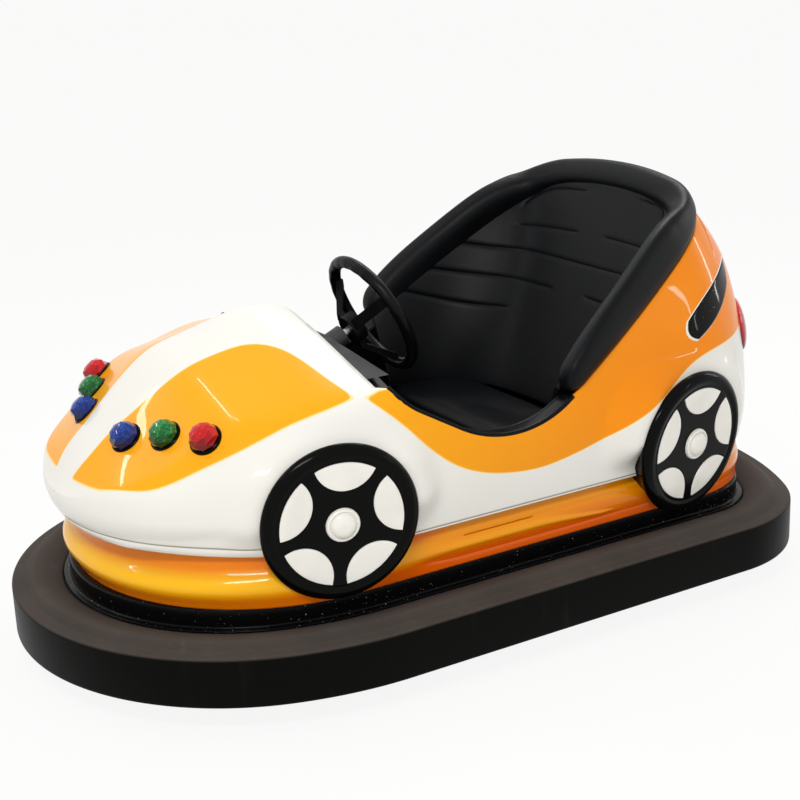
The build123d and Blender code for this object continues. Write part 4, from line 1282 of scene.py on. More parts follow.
        # the groove rows carry the mark for the painted shade along the lip
        for grid, groove in ((low, seam), (side, 0.0), (crown, 0.0)):
            swollen, push = self.arch(grid)
            skin.grid(swollen, panel=self.panel(grid + push[..., None] * self.paint_shift), seam=np.asarray(groove))
        nodes = ("body_front", "body_side_left", "body_side_right", "body_tail")
        piece = skin.mirrored().build(material, "body_white", nodes, outward=False)
        shape = bmesh.new()
        shape.from_mesh(piece.data)
        bmesh.ops.recalc_face_normals(shape, faces=shape.faces)
        middle = max(shape.faces, key=lambda face: face.calc_center_median().x)
        if middle.normal.x < 0:
            bmesh.ops.reverse_faces(shape, faces=shape.faces)
        shape.to_mesh(piece.data)
        shape.free()
        thicken(piece, self.wall)
        return piece


@dataclass
class Ring:
    """Everything that runs round the car: rubber, black pan and orange skirt."""

    rubber: Line = (
        (0.0, 66.0), (0.0, 177.0), (26.0, 179.0), (30.0, 181.5), (48.0, 197.0), (68.0, 197.0), (96.0, 188.0),
        (118.0, 178.0), (118.0, 66.0))
    pan: Line = (
        (118.0, 183.0), (133.0, 183.0), (133.0, 226.0), (155.0, 226.0), (155.0, 221.0), (138.0, 221.0),
        (138.0, 178.0), (118.0, 178.0))
    face: Line = (
        (0.0, 226.0), (-3.0, 240.0), (-9.0, 262.0), (-8.0, 286.0), (2.0, 306.0), (10.0, 322.0), (10.0, 332.0))
    skirt_wall: float = 5.0
    skirt_top_z: float = 318.0
    bulge_end: tuple[float, float] = (-300.0, -120.0)
    bulge_nose: tuple[float, float] = (-760.0, -420.0)
    blade_start_y: float = 60.0
    blade_tip_y: float = 318.0
    blade_z: tuple[float, float] = (272.0, 257.0)
    blade_thick: tuple[float, float] = (13.0, 5.0)
    blade_depth: float = 9.0
    crease_depth: float = 4.0
    # painted shade: heights and share of the dark under the lip and at the foot, and its fall up the sides
    top_tuck_shade: Triple = (290.0, 318.0, 0.9)
    foot_tuck_shade: Triple = (240.0, 280.0, 0.95)
    side_shade_fade: Triple = (236.0, 312.0, 0.6)
    side_shade: float = 0.75
    stations: int = 170

    def build_rubber(self, material: Material) -> Piece:
        """Rubber ring: its profile, with rounded corners, round the outline."""
        grid = RING.ring(rounded(self.rubber, 8.0), self.stations)
        return Skin("rubber_ring").grid(grid, (True, True)).build(material, "rubber_black", ("rubber_bumper",))

    def build_pan(self, material: Material) -> Piece:
        """Black pan: a stepped flange between rubber and skirt."""
        grid = RING.ring(rounded(self.pan, 5.0, 4), self.stations)
        return Skin("black_pan").grid(grid, (True, True)).build(material, "pan_black", ("base_pan",))

    def build_skirt(self, material: Material) -> Piece:
        """Orange skirt: a bulged face under the lip whose bulge narrows to a blade along each side.

        The bulge is full round the nose and gone behind the front discs. A blade, a bell of the height
        that thins and sinks towards its tip, follows it with a crease below; the face's top follows the
        lip. The mesh carries "depth", a painted shade which the paint reads: dark under the lip, at the foot
        and in the crease below the blade, lighter on the bulge, on the blade and up the sides.

        Args:
            material: the paint.

        Returns:
            The skirt.
        """
        count = self.stations
        outer = smooth_line(self.face, 34)
        profile = np.concatenate([outer, (outer + (self.skirt_wall, 0.0))[::-1]])
        points, _ = SKIRT.even(count)
        y = np.concatenate([points[:, 1], points[-2:0:-1, 1]])[:, None]
        z = profile[None, :, 1]
        bulge = np.minimum(profile[None, :, 0], 0.0)
        inner = np.arange(profile.shape[0])[None] >= len(outer)
        fade = smoothstep(y, *self.bulge_end)
        nose = 1.0 - smoothstep(y, *self.bulge_nose)
        tip = smoothstep(y, self.blade_start_y, self.blade_tip_y)
        middle, thick = (first + (last - first) * tip for first, last in (self.blade_z, self.blade_thick))
        along = fade * (1.0 - smoothstep(y, self.blade_tip_y - 70.0, self.blade_tip_y + 6.0))
        blade = np.exp(-(((z - middle) / thick) ** 2)) * along
        crease = np.exp(-(((z - middle + 1.5 * thick) / (0.5 * thick)) ** 2)) * along
        fold = self.crease_depth * crease - self.blade_depth * blade
        grid = SKIRT.ring(profile, count, np.where(inner, 0.0, bulge * (1.1 * nose - fade) + fold))
        grid[..., 2] += np.where(z > self.skirt_top_z, lip_lift(y), 0.0)
        # painted shade: darker under the lip and at the foot in front; along the sides darker low down and in the
        # crease, lighter on the blade
        top, foot, side = (smoothstep(z, *tuck[:2]) for tuck in (self.top_tuck_shade, self.foot_tuck_shade, self.side_shade_fade))
        front = top * self.top_tuck_shade[2] + self.foot_tuck_shade[2] * (1.0 - foot)
        rear = self.side_shade - self.side_shade_fade[2] * side - 0.45 * blade + 0.6 * crease
        depth = np.clip(front, 0.0, 1.0) * (1 - fade) + np.clip(rear, 0.0, 1.0) * fade
        skin = Skin("orange_skirt").grid(grid, (True, True), depth=depth)
        return skin.build(material, "skirt_orange", ("skirt",))


@dataclass
class WheelDisc:
    """Moulded disc on the body's side: black star, five ivory lenses and a white cap."""

    name: str
    centre: Triple
    yaw: float
    lean: float
    mirror: bool
    radius: float = 173.0
    reach: float = 136.0
    window_radius: float = 70.6
    window_centre: float = 143.6
    phase: float = 4.5
    sink: float = 3.0
    rings: int = 92
    columns: int = 240
    lens_middle: float = 0.72
    lens_scale: float = 0.992
    lens_columns: int = 41
    lens_heights: Triple = (0.2, -1.0, -4.5)
    cap_radius: float = 37.0
    cap: Line = (
        (1.0, -2.0), (1.0, 4.0), (0.97, 6.5), (0.88, 8.5), (0.83, 8.0), (0.79, 5.5), (0.76, 5.5), (0.73, 9.0),
        (0.66, 13.0), (0.5, 16.5), (0.3, 18.5), (0.02, 19.2))
    profile: Line = (
        (0.0, 0.0), (138.0, 0.0), (141.0, -1.2), (144.0, -0.6), (149.0, 1.6), (156.0, 2.0), (163.0, -0.4),
        (169.0, -5.0), (172.5, -10.0), (173.0, -15.0), (171.0, -20.0), (166.0, -25.0), (160.0, -32.0), (156.0, -46.0),
        (154.0, -84.0))

    def place(self, local: Array) -> Array:
        """Local points, with +Z outwards, moved to the car's side.

        Args:
            local: (..., 3) points.

        Returns:
            Points turned about Y by 90 degrees less the lean, about Z by the yaw, moved, and mirrored
            across x = 0 for the right side.
        """
        points = local @ np.array(disc_turn(self.yaw, self.lean)).T + np.asarray(self.centre)
        return points * (-1.0, 1.0, 1.0) if self.mirror else points

    def bearings(self) -> Array:
        """Angle of each of the five windows."""
        return np.radians(180.0 - self.phase + 72.0 * np.arange(5))

    def windows(self, x: Array, y: Array) -> Array:
        """Distance inside the nearest window: within its own arc and within the reach.

        Args:
            x: places on the disc.
            y: their second coordinate.

        Returns:
            The distance, negative outside.
        """
        angle = self.bearings()
        gap = np.hypot(x[..., None] - self.window_centre * np.cos(angle),
                       y[..., None] - self.window_centre * np.sin(angle)).min(-1)
        return np.minimum(self.window_radius - gap, self.reach - np.hypot(x, y))

    def build_star(self, material: Material) -> Piece:
        """Black disc: a polar grid on the profile, sunk inside the windows.

        Args:
            material: its material.

        Returns:
            The object.
        """
        line = np.asarray(self.profile)
        flat = line[1, 0]
        radius = np.concatenate([np.linspace(0.4, flat, self.rings), line[2:, 0]])
        depth = np.interp(np.arange(len(radius)), np.arange(self.rings, len(radius)), line[2:, 1], left=0.0)
        angle = full_turn(self.columns)
        x, y = radius[:, None] * np.cos(angle), radius[:, None] * np.sin(angle)
        sink = self.sink * smoothstep(self.windows(x, y), -1.0, 1.2) * (radius[:, None] < flat - 0.5)
        grid = self.place(np.stack([x, y, depth[:, None] - sink], -1))
        skin = Skin(self.name + "_star").grid(grid, (False, True))
        return skin.build(material, "disc_black", ("wheel_disc_" + self.name,))

    def lens_grid(self, angle: float) -> Array:
        """One lens: columns from corner to corner, rows from its own arc to the reach arc.

        Both arcs are read at the same share. The face is crowned by 1 mm, and its edge falls at once.

        Args:
            angle: bearing of its middle.

        Returns:
            (n, m, 3) grid on the disc.
        """
        half = math.acos((self.window_centre**2 + self.reach**2 - self.window_radius**2)
                         / (2 * self.window_centre * self.reach))
        spread = math.asin(self.reach * math.sin(half) / self.window_radius)
        if self.reach * math.cos(half) > self.window_centre:
            spread = math.pi - spread
        share = -np.cos(np.linspace(0.0, math.pi, self.lens_columns))
        outer = self.reach * np.stack([np.cos(half * share), np.sin(half * share)], -1)
        turn = math.pi - spread * share
        inner = self.window_radius * np.stack([np.cos(turn), np.sin(turn)], -1) + (self.window_centre, 0.0)
        across = np.concatenate([[0.0, 0.0, 0.012, 0.03, 0.06], np.linspace(0.12, 0.88, 9),
                                 [0.94, 0.97, 0.988, 1.0, 1.0]])[None, :, None]
        flat = inner[:, None] * (1 - across) + outer[:, None] * across
        middle = (self.reach * self.lens_middle, 0.0)
        flat = (flat - middle) * self.lens_scale + middle
        edge = np.abs(across[0, :, 0] - 0.5) * 2
        face, rim, foot = self.lens_heights
        height = np.where(edge >= 1.0, rim, face + (1 - edge**8))
        height = np.where(np.arange(len(edge)) % (len(edge) - 1) == 0, foot, height)
        height = np.broadcast_to(height, flat.shape[:2])
        x = flat[..., 0] * math.cos(angle) - flat[..., 1] * math.sin(angle)
        y = flat[..., 0] * math.sin(angle) + flat[..., 1] * math.cos(angle)
        return np.stack([x, y, height], -1)

    def build_lenses(self, material: Material) -> Piece:
        """Five ivory lenses in the star's windows.

        Args:
            material: its material.

        Returns:
            The object.
        """
        skin = Skin(self.name + "_lenses")
        for angle in self.bearings():
            skin.grid(self.place(self.lens_grid(angle)))
        return skin.build(material, "disc_white", ("wheel_plates",), sharp=50.0)

    def build_cap(self, material: Material) -> Piece:
        """Stepped white cap: its profile turned round the disc's axis.

        Args:
            material: its material.

        Returns:
            The object.
        """
        line = smooth_line(tuple((share * self.cap_radius, height) for share, height in self.cap), 60)
        grid = turned(line[:, :1], line[:, 1:], full_turn(72), (np.zeros(3), *np.eye(3)))
        skin = Skin(self.name + "_cap").grid(self.place(grid), (False, True))
        return skin.build(material, "disc_white", ("hub_caps",))


@dataclass
class NoseLamps:
    """Pair of faceted lamps on the hood, one on each side."""

    name: str
    foot: tuple[float, float]
    radius: float = 33.0
    depth: float = 35.0
    sides: int = 8
    rows: Line = ((0.97, -0.5), (1.0, 0.2), (0.93, 0.52), (0.70, 0.84), (0.38, 0.97), (0.02, 1.0))
    bezel: Line = ((0.9, -8.0), (1.1, -8.0), (1.1, 1.2), (1.02, 3.4), (0.9, 3.4))

    def frame(self) -> tuple[Array, Array, Array, Array]:
        """Foot of the left lamp on the hood, level and rising direction, and the hood's normal there.

        Returns:
            Origin, first and second direction and axis.
        """
        x, y = self.foot
        shares = np.linspace(0.3, 1.0, LINE_SAMPLES)
        line = FORM.surface(np.full(LINE_SAMPLES, y), shares)
        best = int(np.abs(line[:, 0] - x).argmin())
        normal = FORM.normal(np.array(y), shares[best])
        across = np.cross((0.0, 0.0, 1.0), normal)
        across /= np.linalg.norm(across)
        return line[best], across, np.cross(normal, across), normal

    def build(self, material: Material) -> Piece:
        """Cut dome: each row of corners is turned by half a side against the row below it.

        Args:
            material: its material.

        Returns:
            The object.
        """
        share, height = np.asarray(self.rows).T[..., None]
        turn = full_turn(self.sides) + np.arange(len(share))[:, None] % 2 * math.pi / self.sides
        grid = turned(self.radius * share, self.depth * height, turn, self.frame())
        skin = Skin("nose_lamps_" + self.name + "_cut").grid(grid, (False, True)).mirrored()
        return skin.build(material, "lamp_" + self.name, ("nose_lamps_" + self.name,), sharp=8.0)

    def build_seat(self, material: Material) -> Piece:
        """Thin dark bezel under each lamp.

        Args:
            material: its material.

        Returns:
            The object.
        """
        line = rounded(self.bezel, 1.0, 4)
        grid = turned(self.radius * line[:, :1], line[:, 1:], full_turn(48), self.frame())
        skin = Skin("nose_lamp_bezels_" + self.name).grid(grid, (True, True)).mirrored()
        return skin.build(material, "liner_black")


@dataclass
class TailTrim:
    """Quarter windows and tail lamps, lying on the tail."""

    window_lift: float = 3.0
    frame_lift: float = 1.6
    frame_grow: float = 0.05
    upper: Line = ((523.0, 660.0), (616.0, 722.0), (738.0, 766.0))
    lower: Line = ((546.0, 614.0), (633.0, 660.0), (716.0, 720.0))
    nose: tuple[float, float] = (518.0, 630.0)
    rear: tuple[float, float] = (735.0, 744.0)
    lamp: tuple[float, float] = (789.0, 590.0)
    lamp_size: tuple[float, float] = (38.0, 62.0)
    lamp_height: float = 16.0
    lamp_sink: float = 2.0
    hidden_edge: tuple[float, float] = (-4.0, -6.0)

    def window_grid(self, grow: float, lift: float, count: int = 36) -> Array:
        """Patch between the two long arcs, closed by the two short ones.

        A Coons patch: the two blends along and across, less the blend of the corners.

        Args:
            grow: how far it stands outside its outline, in shares of its size.
            lift: height over the tail.
            count: points each way.

        Returns:
            (n, n, 3) grid.
        """
        def arc(points: Line) -> Array:
            """Parabola through three points."""
            (a, b, c), t = (np.asarray(points, float), np.linspace(0.0, 1.0, count)[:, None])
            return a * (1 - t) * (1 - 2 * t) + b * 4 * t * (1 - t) + c * t * (2 * t - 1)
        low, high = arc(self.lower), arc(self.upper)
        left, right = arc((low[0], self.nose, high[0])), arc((low[-1], self.rear, high[-1]))
        steps = np.linspace(0.0, 1.0, count)
        u, v = steps[:, None, None], steps[None, :, None]
        flat = (low[:, None] * (1 - v) + high[:, None] * v + left[None] * (1 - u) + right[None] * u
                - low[0] * (1 - u) * (1 - v) - high[0] * (1 - u) * v - low[-1] * u * (1 - v) - high[-1] * u * v)
        middle = flat.mean((0, 1))
        flat = middle + (flat - middle) * (1 + grow)
        edge = np.maximum(np.abs(2 * u - 1), np.abs(2 * v - 1))[..., 0]
        rise = np.where(edge > 0.999, self.hidden_edge[0], lift * (1 - edge**14))
        return FORM.laid(flat[..., 0], flat[..., 1], rise)

    def build_windows(self, glass: Material, frame: Material) -> Piece:
        """Gloss black panes, each in a fine pale frame.

        Args:
            glass: the panes' material.
            frame: the frames' material.

        Returns:
            The panes.
        """
        edge = self.window_grid(self.frame_grow, self.frame_lift)
        Skin("quarter_window_frames").grid(edge).mirrored().build(frame, "body_white")
        skin = Skin("quarter_panes").grid(self.window_grid(0.0, self.window_lift)).mirrored()
        return skin.build(glass, "glass_black", ("quarter_windows",))

    def build_lamps(self, material: Material) -> Piece:
        """Tear-shaped red domes: a polar grid over the tail, highest in the middle.

        Args:
            material: its material.

        Returns:
            The object.
        """
        share = np.concatenate([[1.0, 1.0], np.linspace(0.97, 0.01, 22)])[:, None]
        turn = full_turn(48)
        y = self.lamp[0] + self.lamp_size[0] * share * np.cos(turn)
        z = self.lamp[1] + self.lamp_size[1] * share * np.sin(turn)
        dome = self.lamp_height * np.sqrt(1 - share**2 * 0.98) - self.lamp_sink
        lift = np.where(np.arange(len(share))[:, None] == 0, self.hidden_edge[1], dome)
        skin = Skin("tail_lamp_lenses").grid(FORM.laid(y, z, np.broadcast_to(lift, y.shape)), (False, True))
        return skin.mirrored().build(material, "lamp_red", ("tail_lamps",))


@dataclass
class Cockpit:
    """Soft and hard trim of the cockpit: rim pad, seat back, cushion, sill strips."""

    pad_stations: int = 210
    pad_width: float = 66.0
    pad_power: float = 0.72
    pad_end: float = 46.0
    pad_sink: float = 4.0
    pad_depth: Line = (
        (172.0, 62.0), (235.0, 84.0), (300.0, 96.0), (400.0, 103.0), (480.0, 107.0), (550.0, 105.0), (620.0, 86.0),
        (688.0, 51.0))
    pad_proud: float = 13.0
    pad_lean: float = 0.3
    pad_front_y: float = 172.0
    back_foot: tuple[float, float] = (390.0, 330.0)
    back_slope: float = 0.358
    hub_y: float = 178.0
    floor_z: float = 385.0
    bowl_half_width: float = 352.0
    bowl_power: float = 2.7
    bowl_under: tuple[float, float] = (16.0, 0.3)
    bowl_grid: tuple[int, int] = (255, 170)
    bowl_wall: float = 12.0
    swell: float = 7.0
    groove_depth: float = 6.0
    groove_width: float = 4.5
    groove_fade: float = 45.0
    cushion_power: float = 0.42
    cushion_edge: float = 20.0
    cushion_room: float = 22.0
    cushion_dip: float = 8.0
    cushion_base: float = 0.5
    cushion_pull: tuple[float, float] = (0.02, 0.03)
    welt: Triple = (2.0, 0.94, 0.02)
    sill_stations: int = 110
    sill_range: tuple[float, float] = (-274.0, 176.0)
    sill: Line = ((-50.0, -7.0), (0.5, -7.0), (0.5, 3.5), (-50.0, 3.5))
    grooves: tuple[Line, ...] = (
        ((-80.0, 775.0), (-60.0, 742.0), (-43.0, 722.0), (-16.0, 717.0), (16.0, 717.0), (43.0, 722.0),
         (60.0, 742.0), (80.0, 775.0)),
        ((-76.0, 688.0), (-55.0, 660.0), (-40.0, 649.0), (-31.0, 645.0), (-11.0, 645.0)),
        ((76.0, 688.0), (55.0, 660.0), (40.0, 649.0), (24.0, 643.0), (6.0, 648.0)),
        ((-84.0, 634.0), (-66.0, 598.0), (-49.0, 579.0), (-34.0, 576.0)),
        ((84.0, 634.0), (66.0, 598.0), (49.0, 579.0), (34.0, 576.0)),
        ((-40.0, 776.0), (-22.0, 781.0), (-6.0, 787.0)), ((4.0, 789.0), (18.0, 787.0), (34.0, 782.0)),
        ((-37.0, 806.0), (-35.0, 834.0), (-30.0, 861.0), (-23.0, 876.0), (-8.0, 884.0)),
        ((12.0, 889.0), (21.0, 885.0), (27.0, 864.0), (30.0, 836.0), (30.0, 803.0)))
    degree_width: float = 6.3

    def rim(self) -> tuple[Array, Array, Array]:
        """Frames along the pad from its left front end over the ridge to its right front end.

        Returns:
            Points, outward normals and directions up off the edge.
        """
        points, normals, up = rim_path(self.pad_stations, self.pad_front_y)
        up = up + normals * self.pad_lean
        up /= np.linalg.norm(up, axis=1, keepdims=True)
        flip = np.array([-1.0, 1.0, 1.0])
        return tuple(np.concatenate([rows, (rows * flip)[-2::-1]]) for rows in (points, normals, up))

    def inner_edge(self, points: Array, normals: Array) -> Array:
        """The pad's inner edge: the width inside the path, its corners eased by 260 rounds of averaging.

        Args:
            points: the path.
            normals: its outward normals.

        Returns:
            One point for each of the path's.
        """
        inner = points + normals * (self.pad_proud - self.pad_width)
        for _ in range(260):
            inner[1:-1] = (inner[:-2] + 2.0 * inner[1:-1] + inner[2:]) / 4.0
        return inner

    def depths(self, points: Array) -> Array:
        """Height of the pad over the edge at each path point, a spline of its station."""
        stations, depth = np.asarray(self.pad_depth).T
        return spline(stations, depth, points[:, 1])

    def build_pad(self, material: Material) -> Piece:
        """Rim pad: a superellipse carried along the opening's edge, drawn in to a round end at the front.

        Its section is sign(c)|c|^p of the half width and half depth, c being a cosine or sine. Over the
        last stretch of each end both sizes fall with the root of 1 - (1 - s)^2, s being the share of the way.

        Args:
            material: the vinyl.

        Returns:
            The pad.
        """
        points, normals, up = self.rim()
        length = chord_lengths(points)
        near = np.minimum(length, length[-1] - length) / self.pad_end
        taper = np.sqrt(np.clip(1 - (1 - np.clip(near, 0.0, 1.0)) ** 2, 0.0004, 1.0))
        turn = full_turn(44)
        half = self.depths(points)[:, None] / 2
        wide, deep = (signed_power(way, self.pad_power) for way in (np.cos(turn), np.sin(turn)))
        deep = deep * half
        inner, outer = self.inner_edge(points, normals), points + normals * self.pad_proud
        centre, side = (inner + outer) / 2 + up * (half - self.pad_sink), (outer - inner) / 2
        grid = (centre[:, None] + side[:, None] * (wide * taper[:, None])[..., None]
                + up[:, None] * (deep * taper[:, None])[..., None])
        piece = Skin("rim_pad").grid(grid, (False, True)).build(material, "pad_black", ("seat_rim",))
        return piece

    def channels(self, bearing: Array, z: Array) -> Array:
        """Share of the sewn channels' depth on the seat back.

        Args:
            bearing: bearing from the seat's middle, in radians.
            z: heights.

        Returns:
            A bell across each line, which fades at the line's ends.
        """
        scale = np.array([self.degree_width, 1.0])
        flat = np.stack(np.broadcast_arrays(np.degrees(bearing), z), -1) * scale
        depth = np.zeros(flat.shape[:-1])
        for line in self.grooves:
            path = smooth_line(line, 26) * scale
            gap = np.abs(line_distance(flat, path))
            ends = np.minimum(*(np.linalg.norm(flat - end, axis=-1) for end in (path[0], path[-1])))
            bell = np.exp(-((gap / self.groove_width) ** 2))
            depth = np.maximum(depth, bell * smoothstep(ends, 0.0, self.groove_fade))
        return depth

    def build_bowl(self, material: Material) -> Piece:
        """Seat back: rays from the seat's middle meet the pad's inner edge above and a U below.

        At each bearing the reach runs from the U's to the pad's with the height; the U is a
        superellipse. The padding swells in the middle of its height and sinks along the channels.

        Args:
            material: the vinyl.

        Returns:
            The seat back.
        """
        points, normals, up = self.rim()
        out, share = self.bowl_under
        inner = self.inner_edge(points, normals) + normals * out + up * (self.depths(points)[:, None] * share)
        inner[:, 0] = np.where(np.abs(inner[:, 0]) < 0.5, 0.0, inner[:, 0])
        inner = even(inner, self.bowl_grid[0])
        bearing = np.arctan2(inner[:, 0], inner[:, 1] - self.hub_y)
        reach = np.hypot(inner[:, 0], inner[:, 1] - self.hub_y)
        depth = self.back_foot[0] + self.back_slope * (self.floor_z - self.back_foot[1]) - self.hub_y
        power = self.bowl_power
        low = (np.abs(np.sin(bearing) / self.bowl_half_width) ** power
               + np.abs(np.cos(bearing) / depth) ** power) ** (-1 / power)
        rows = np.linspace(0.0, 1.0, self.bowl_grid[1])[None]
        radius = low[:, None] + (reach - low)[:, None] * rows
        z = self.floor_z + (inner[:, 2] - self.floor_z)[:, None] * rows
        radius = radius - (self.swell * np.sin(np.pi * rows) ** 0.5
                           - self.groove_depth * self.channels(bearing[:, None], z))
        grid = np.stack([radius * np.sin(bearing)[:, None], self.hub_y + radius * np.cos(bearing)[:, None], z], -1)
        piece = Skin("seat_bowl").grid(grid).build(material, "pad_black", ("seat_back",), outward=False)
        thicken(piece, self.bowl_wall)
        return piece

    def build_cushion(self, material: Material) -> Piece:
        """Cushion: a crowned form whose plan is a superellipse and whose sides pull in below.

        The top's height follows the root of 1 - r^6, r being the share of the way out, with a welt near
        the edge and a dip by the square of 1 - r.

        Args:
            material: the vinyl.

        Returns:
            The cushion.
        """
        box = np.array(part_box("seat_cushion")) / MM
        middle, half = (box[0] + box[1]) / 2, (box[1] - box[0]) / 2
        turn, low = full_turn(120), box[0][2] + self.cushion_base
        x, y = (signed_power(way, self.cushion_power) * reach
                for way, reach in zip((np.cos(turn), np.sin(turn)), half))

        def rows(scale: Array, height: Array) -> Array:
            """Rows of the plan at a scale and a height each."""
            flat = [way * scale + centre for way, centre in zip((x, y), middle)]
            return np.stack([*flat, np.broadcast_to(height, flat[0].shape)], -1)
        share = np.linspace(0.01, 1.0, 34)[:, None]
        rise = (1 - share**6 * 0.999) ** 0.5 * (2 * half[2] - self.cushion_room) + self.cushion_edge
        bead, place, width = self.welt
        welt = bead * np.exp(-(((share - place) / width) ** 2))
        height = box[0][2] + rise + welt - self.cushion_dip * (1 - share) ** 2
        pull = np.linspace(0.0, 1.0, 12)[1:, None]
        scale = 1.0 - self.cushion_pull[0] * np.sin(np.pi * pull) - self.cushion_pull[1] * pull
        parts = [rows(share, height), rows(scale, height[-1] * (1 - pull) + low * pull),
                 rows(np.full((1, 1), 0.5), low)]
        skin = Skin("cushion_cover").grid(np.concatenate(parts), (False, True))
        piece = skin.build(material, "pad_black", ("seat_cushion",))
        return piece

    def build_sills(self, material: Material) -> Piece:
        """Sill strips: a rounded flat section along each door's edge from the hood to the pad.

        Args:
            material: its material.

        Returns:
            The object.
        """
        points, normals, up = (rows[:, None] for rows in rim_path(self.sill_stations, *self.sill_range))
        section = rounded(self.sill, 4.0)[None]
        skin = Skin("sill_strips").grid(points + normals * section[..., :1] + up * section[..., 1:], (False, True))
        return skin.mirrored().build(material, "liner_black", ("sill_trim",))


@dataclass
class Steering:
    """Rim of the steering wheel."""

    centre: Triple = (0.0, -71.5, 695.0)
    tilt: float = 24.4
    radius: float = 142.0
    tube: float = 14.5

    def frame(self) -> tuple[Array, Array, Array, Array]:
        """Centre, and unit vectors across the wheel, up its face and out along its axis.

        Returns:
            Origin, first and second direction and axis.
        """
        angle = math.radians(self.tilt)
        across, out = np.array([1.0, 0.0, 0.0]), np.array([0.0, math.cos(angle), math.sin(angle)])
        return np.asarray(self.centre), across, np.cross(out, across), out

    def build_rim(self, material: Material) -> Piece:
        """Moulded rim: a round section, with finger swells behind, round the wheel's circle.

        Args:
            material: its material.

        Returns:
            The object.
        """
        turn, around = full_turn(144)[:, None], full_turn(22)[None]
        tube = self.tube * (1 - 0.05 * np.sin(12 * turn) ** 2 * (np.sin(around) < 0))
        grid = turned(self.radius + tube * np.cos(around), tube * np.sin(around), turn, self.frame())
        skin = Skin("wheel_rim").grid(grid, (True, True))
        return skin.build(material, "wheel_grip", ("steering_rim",), Body.STEERING)


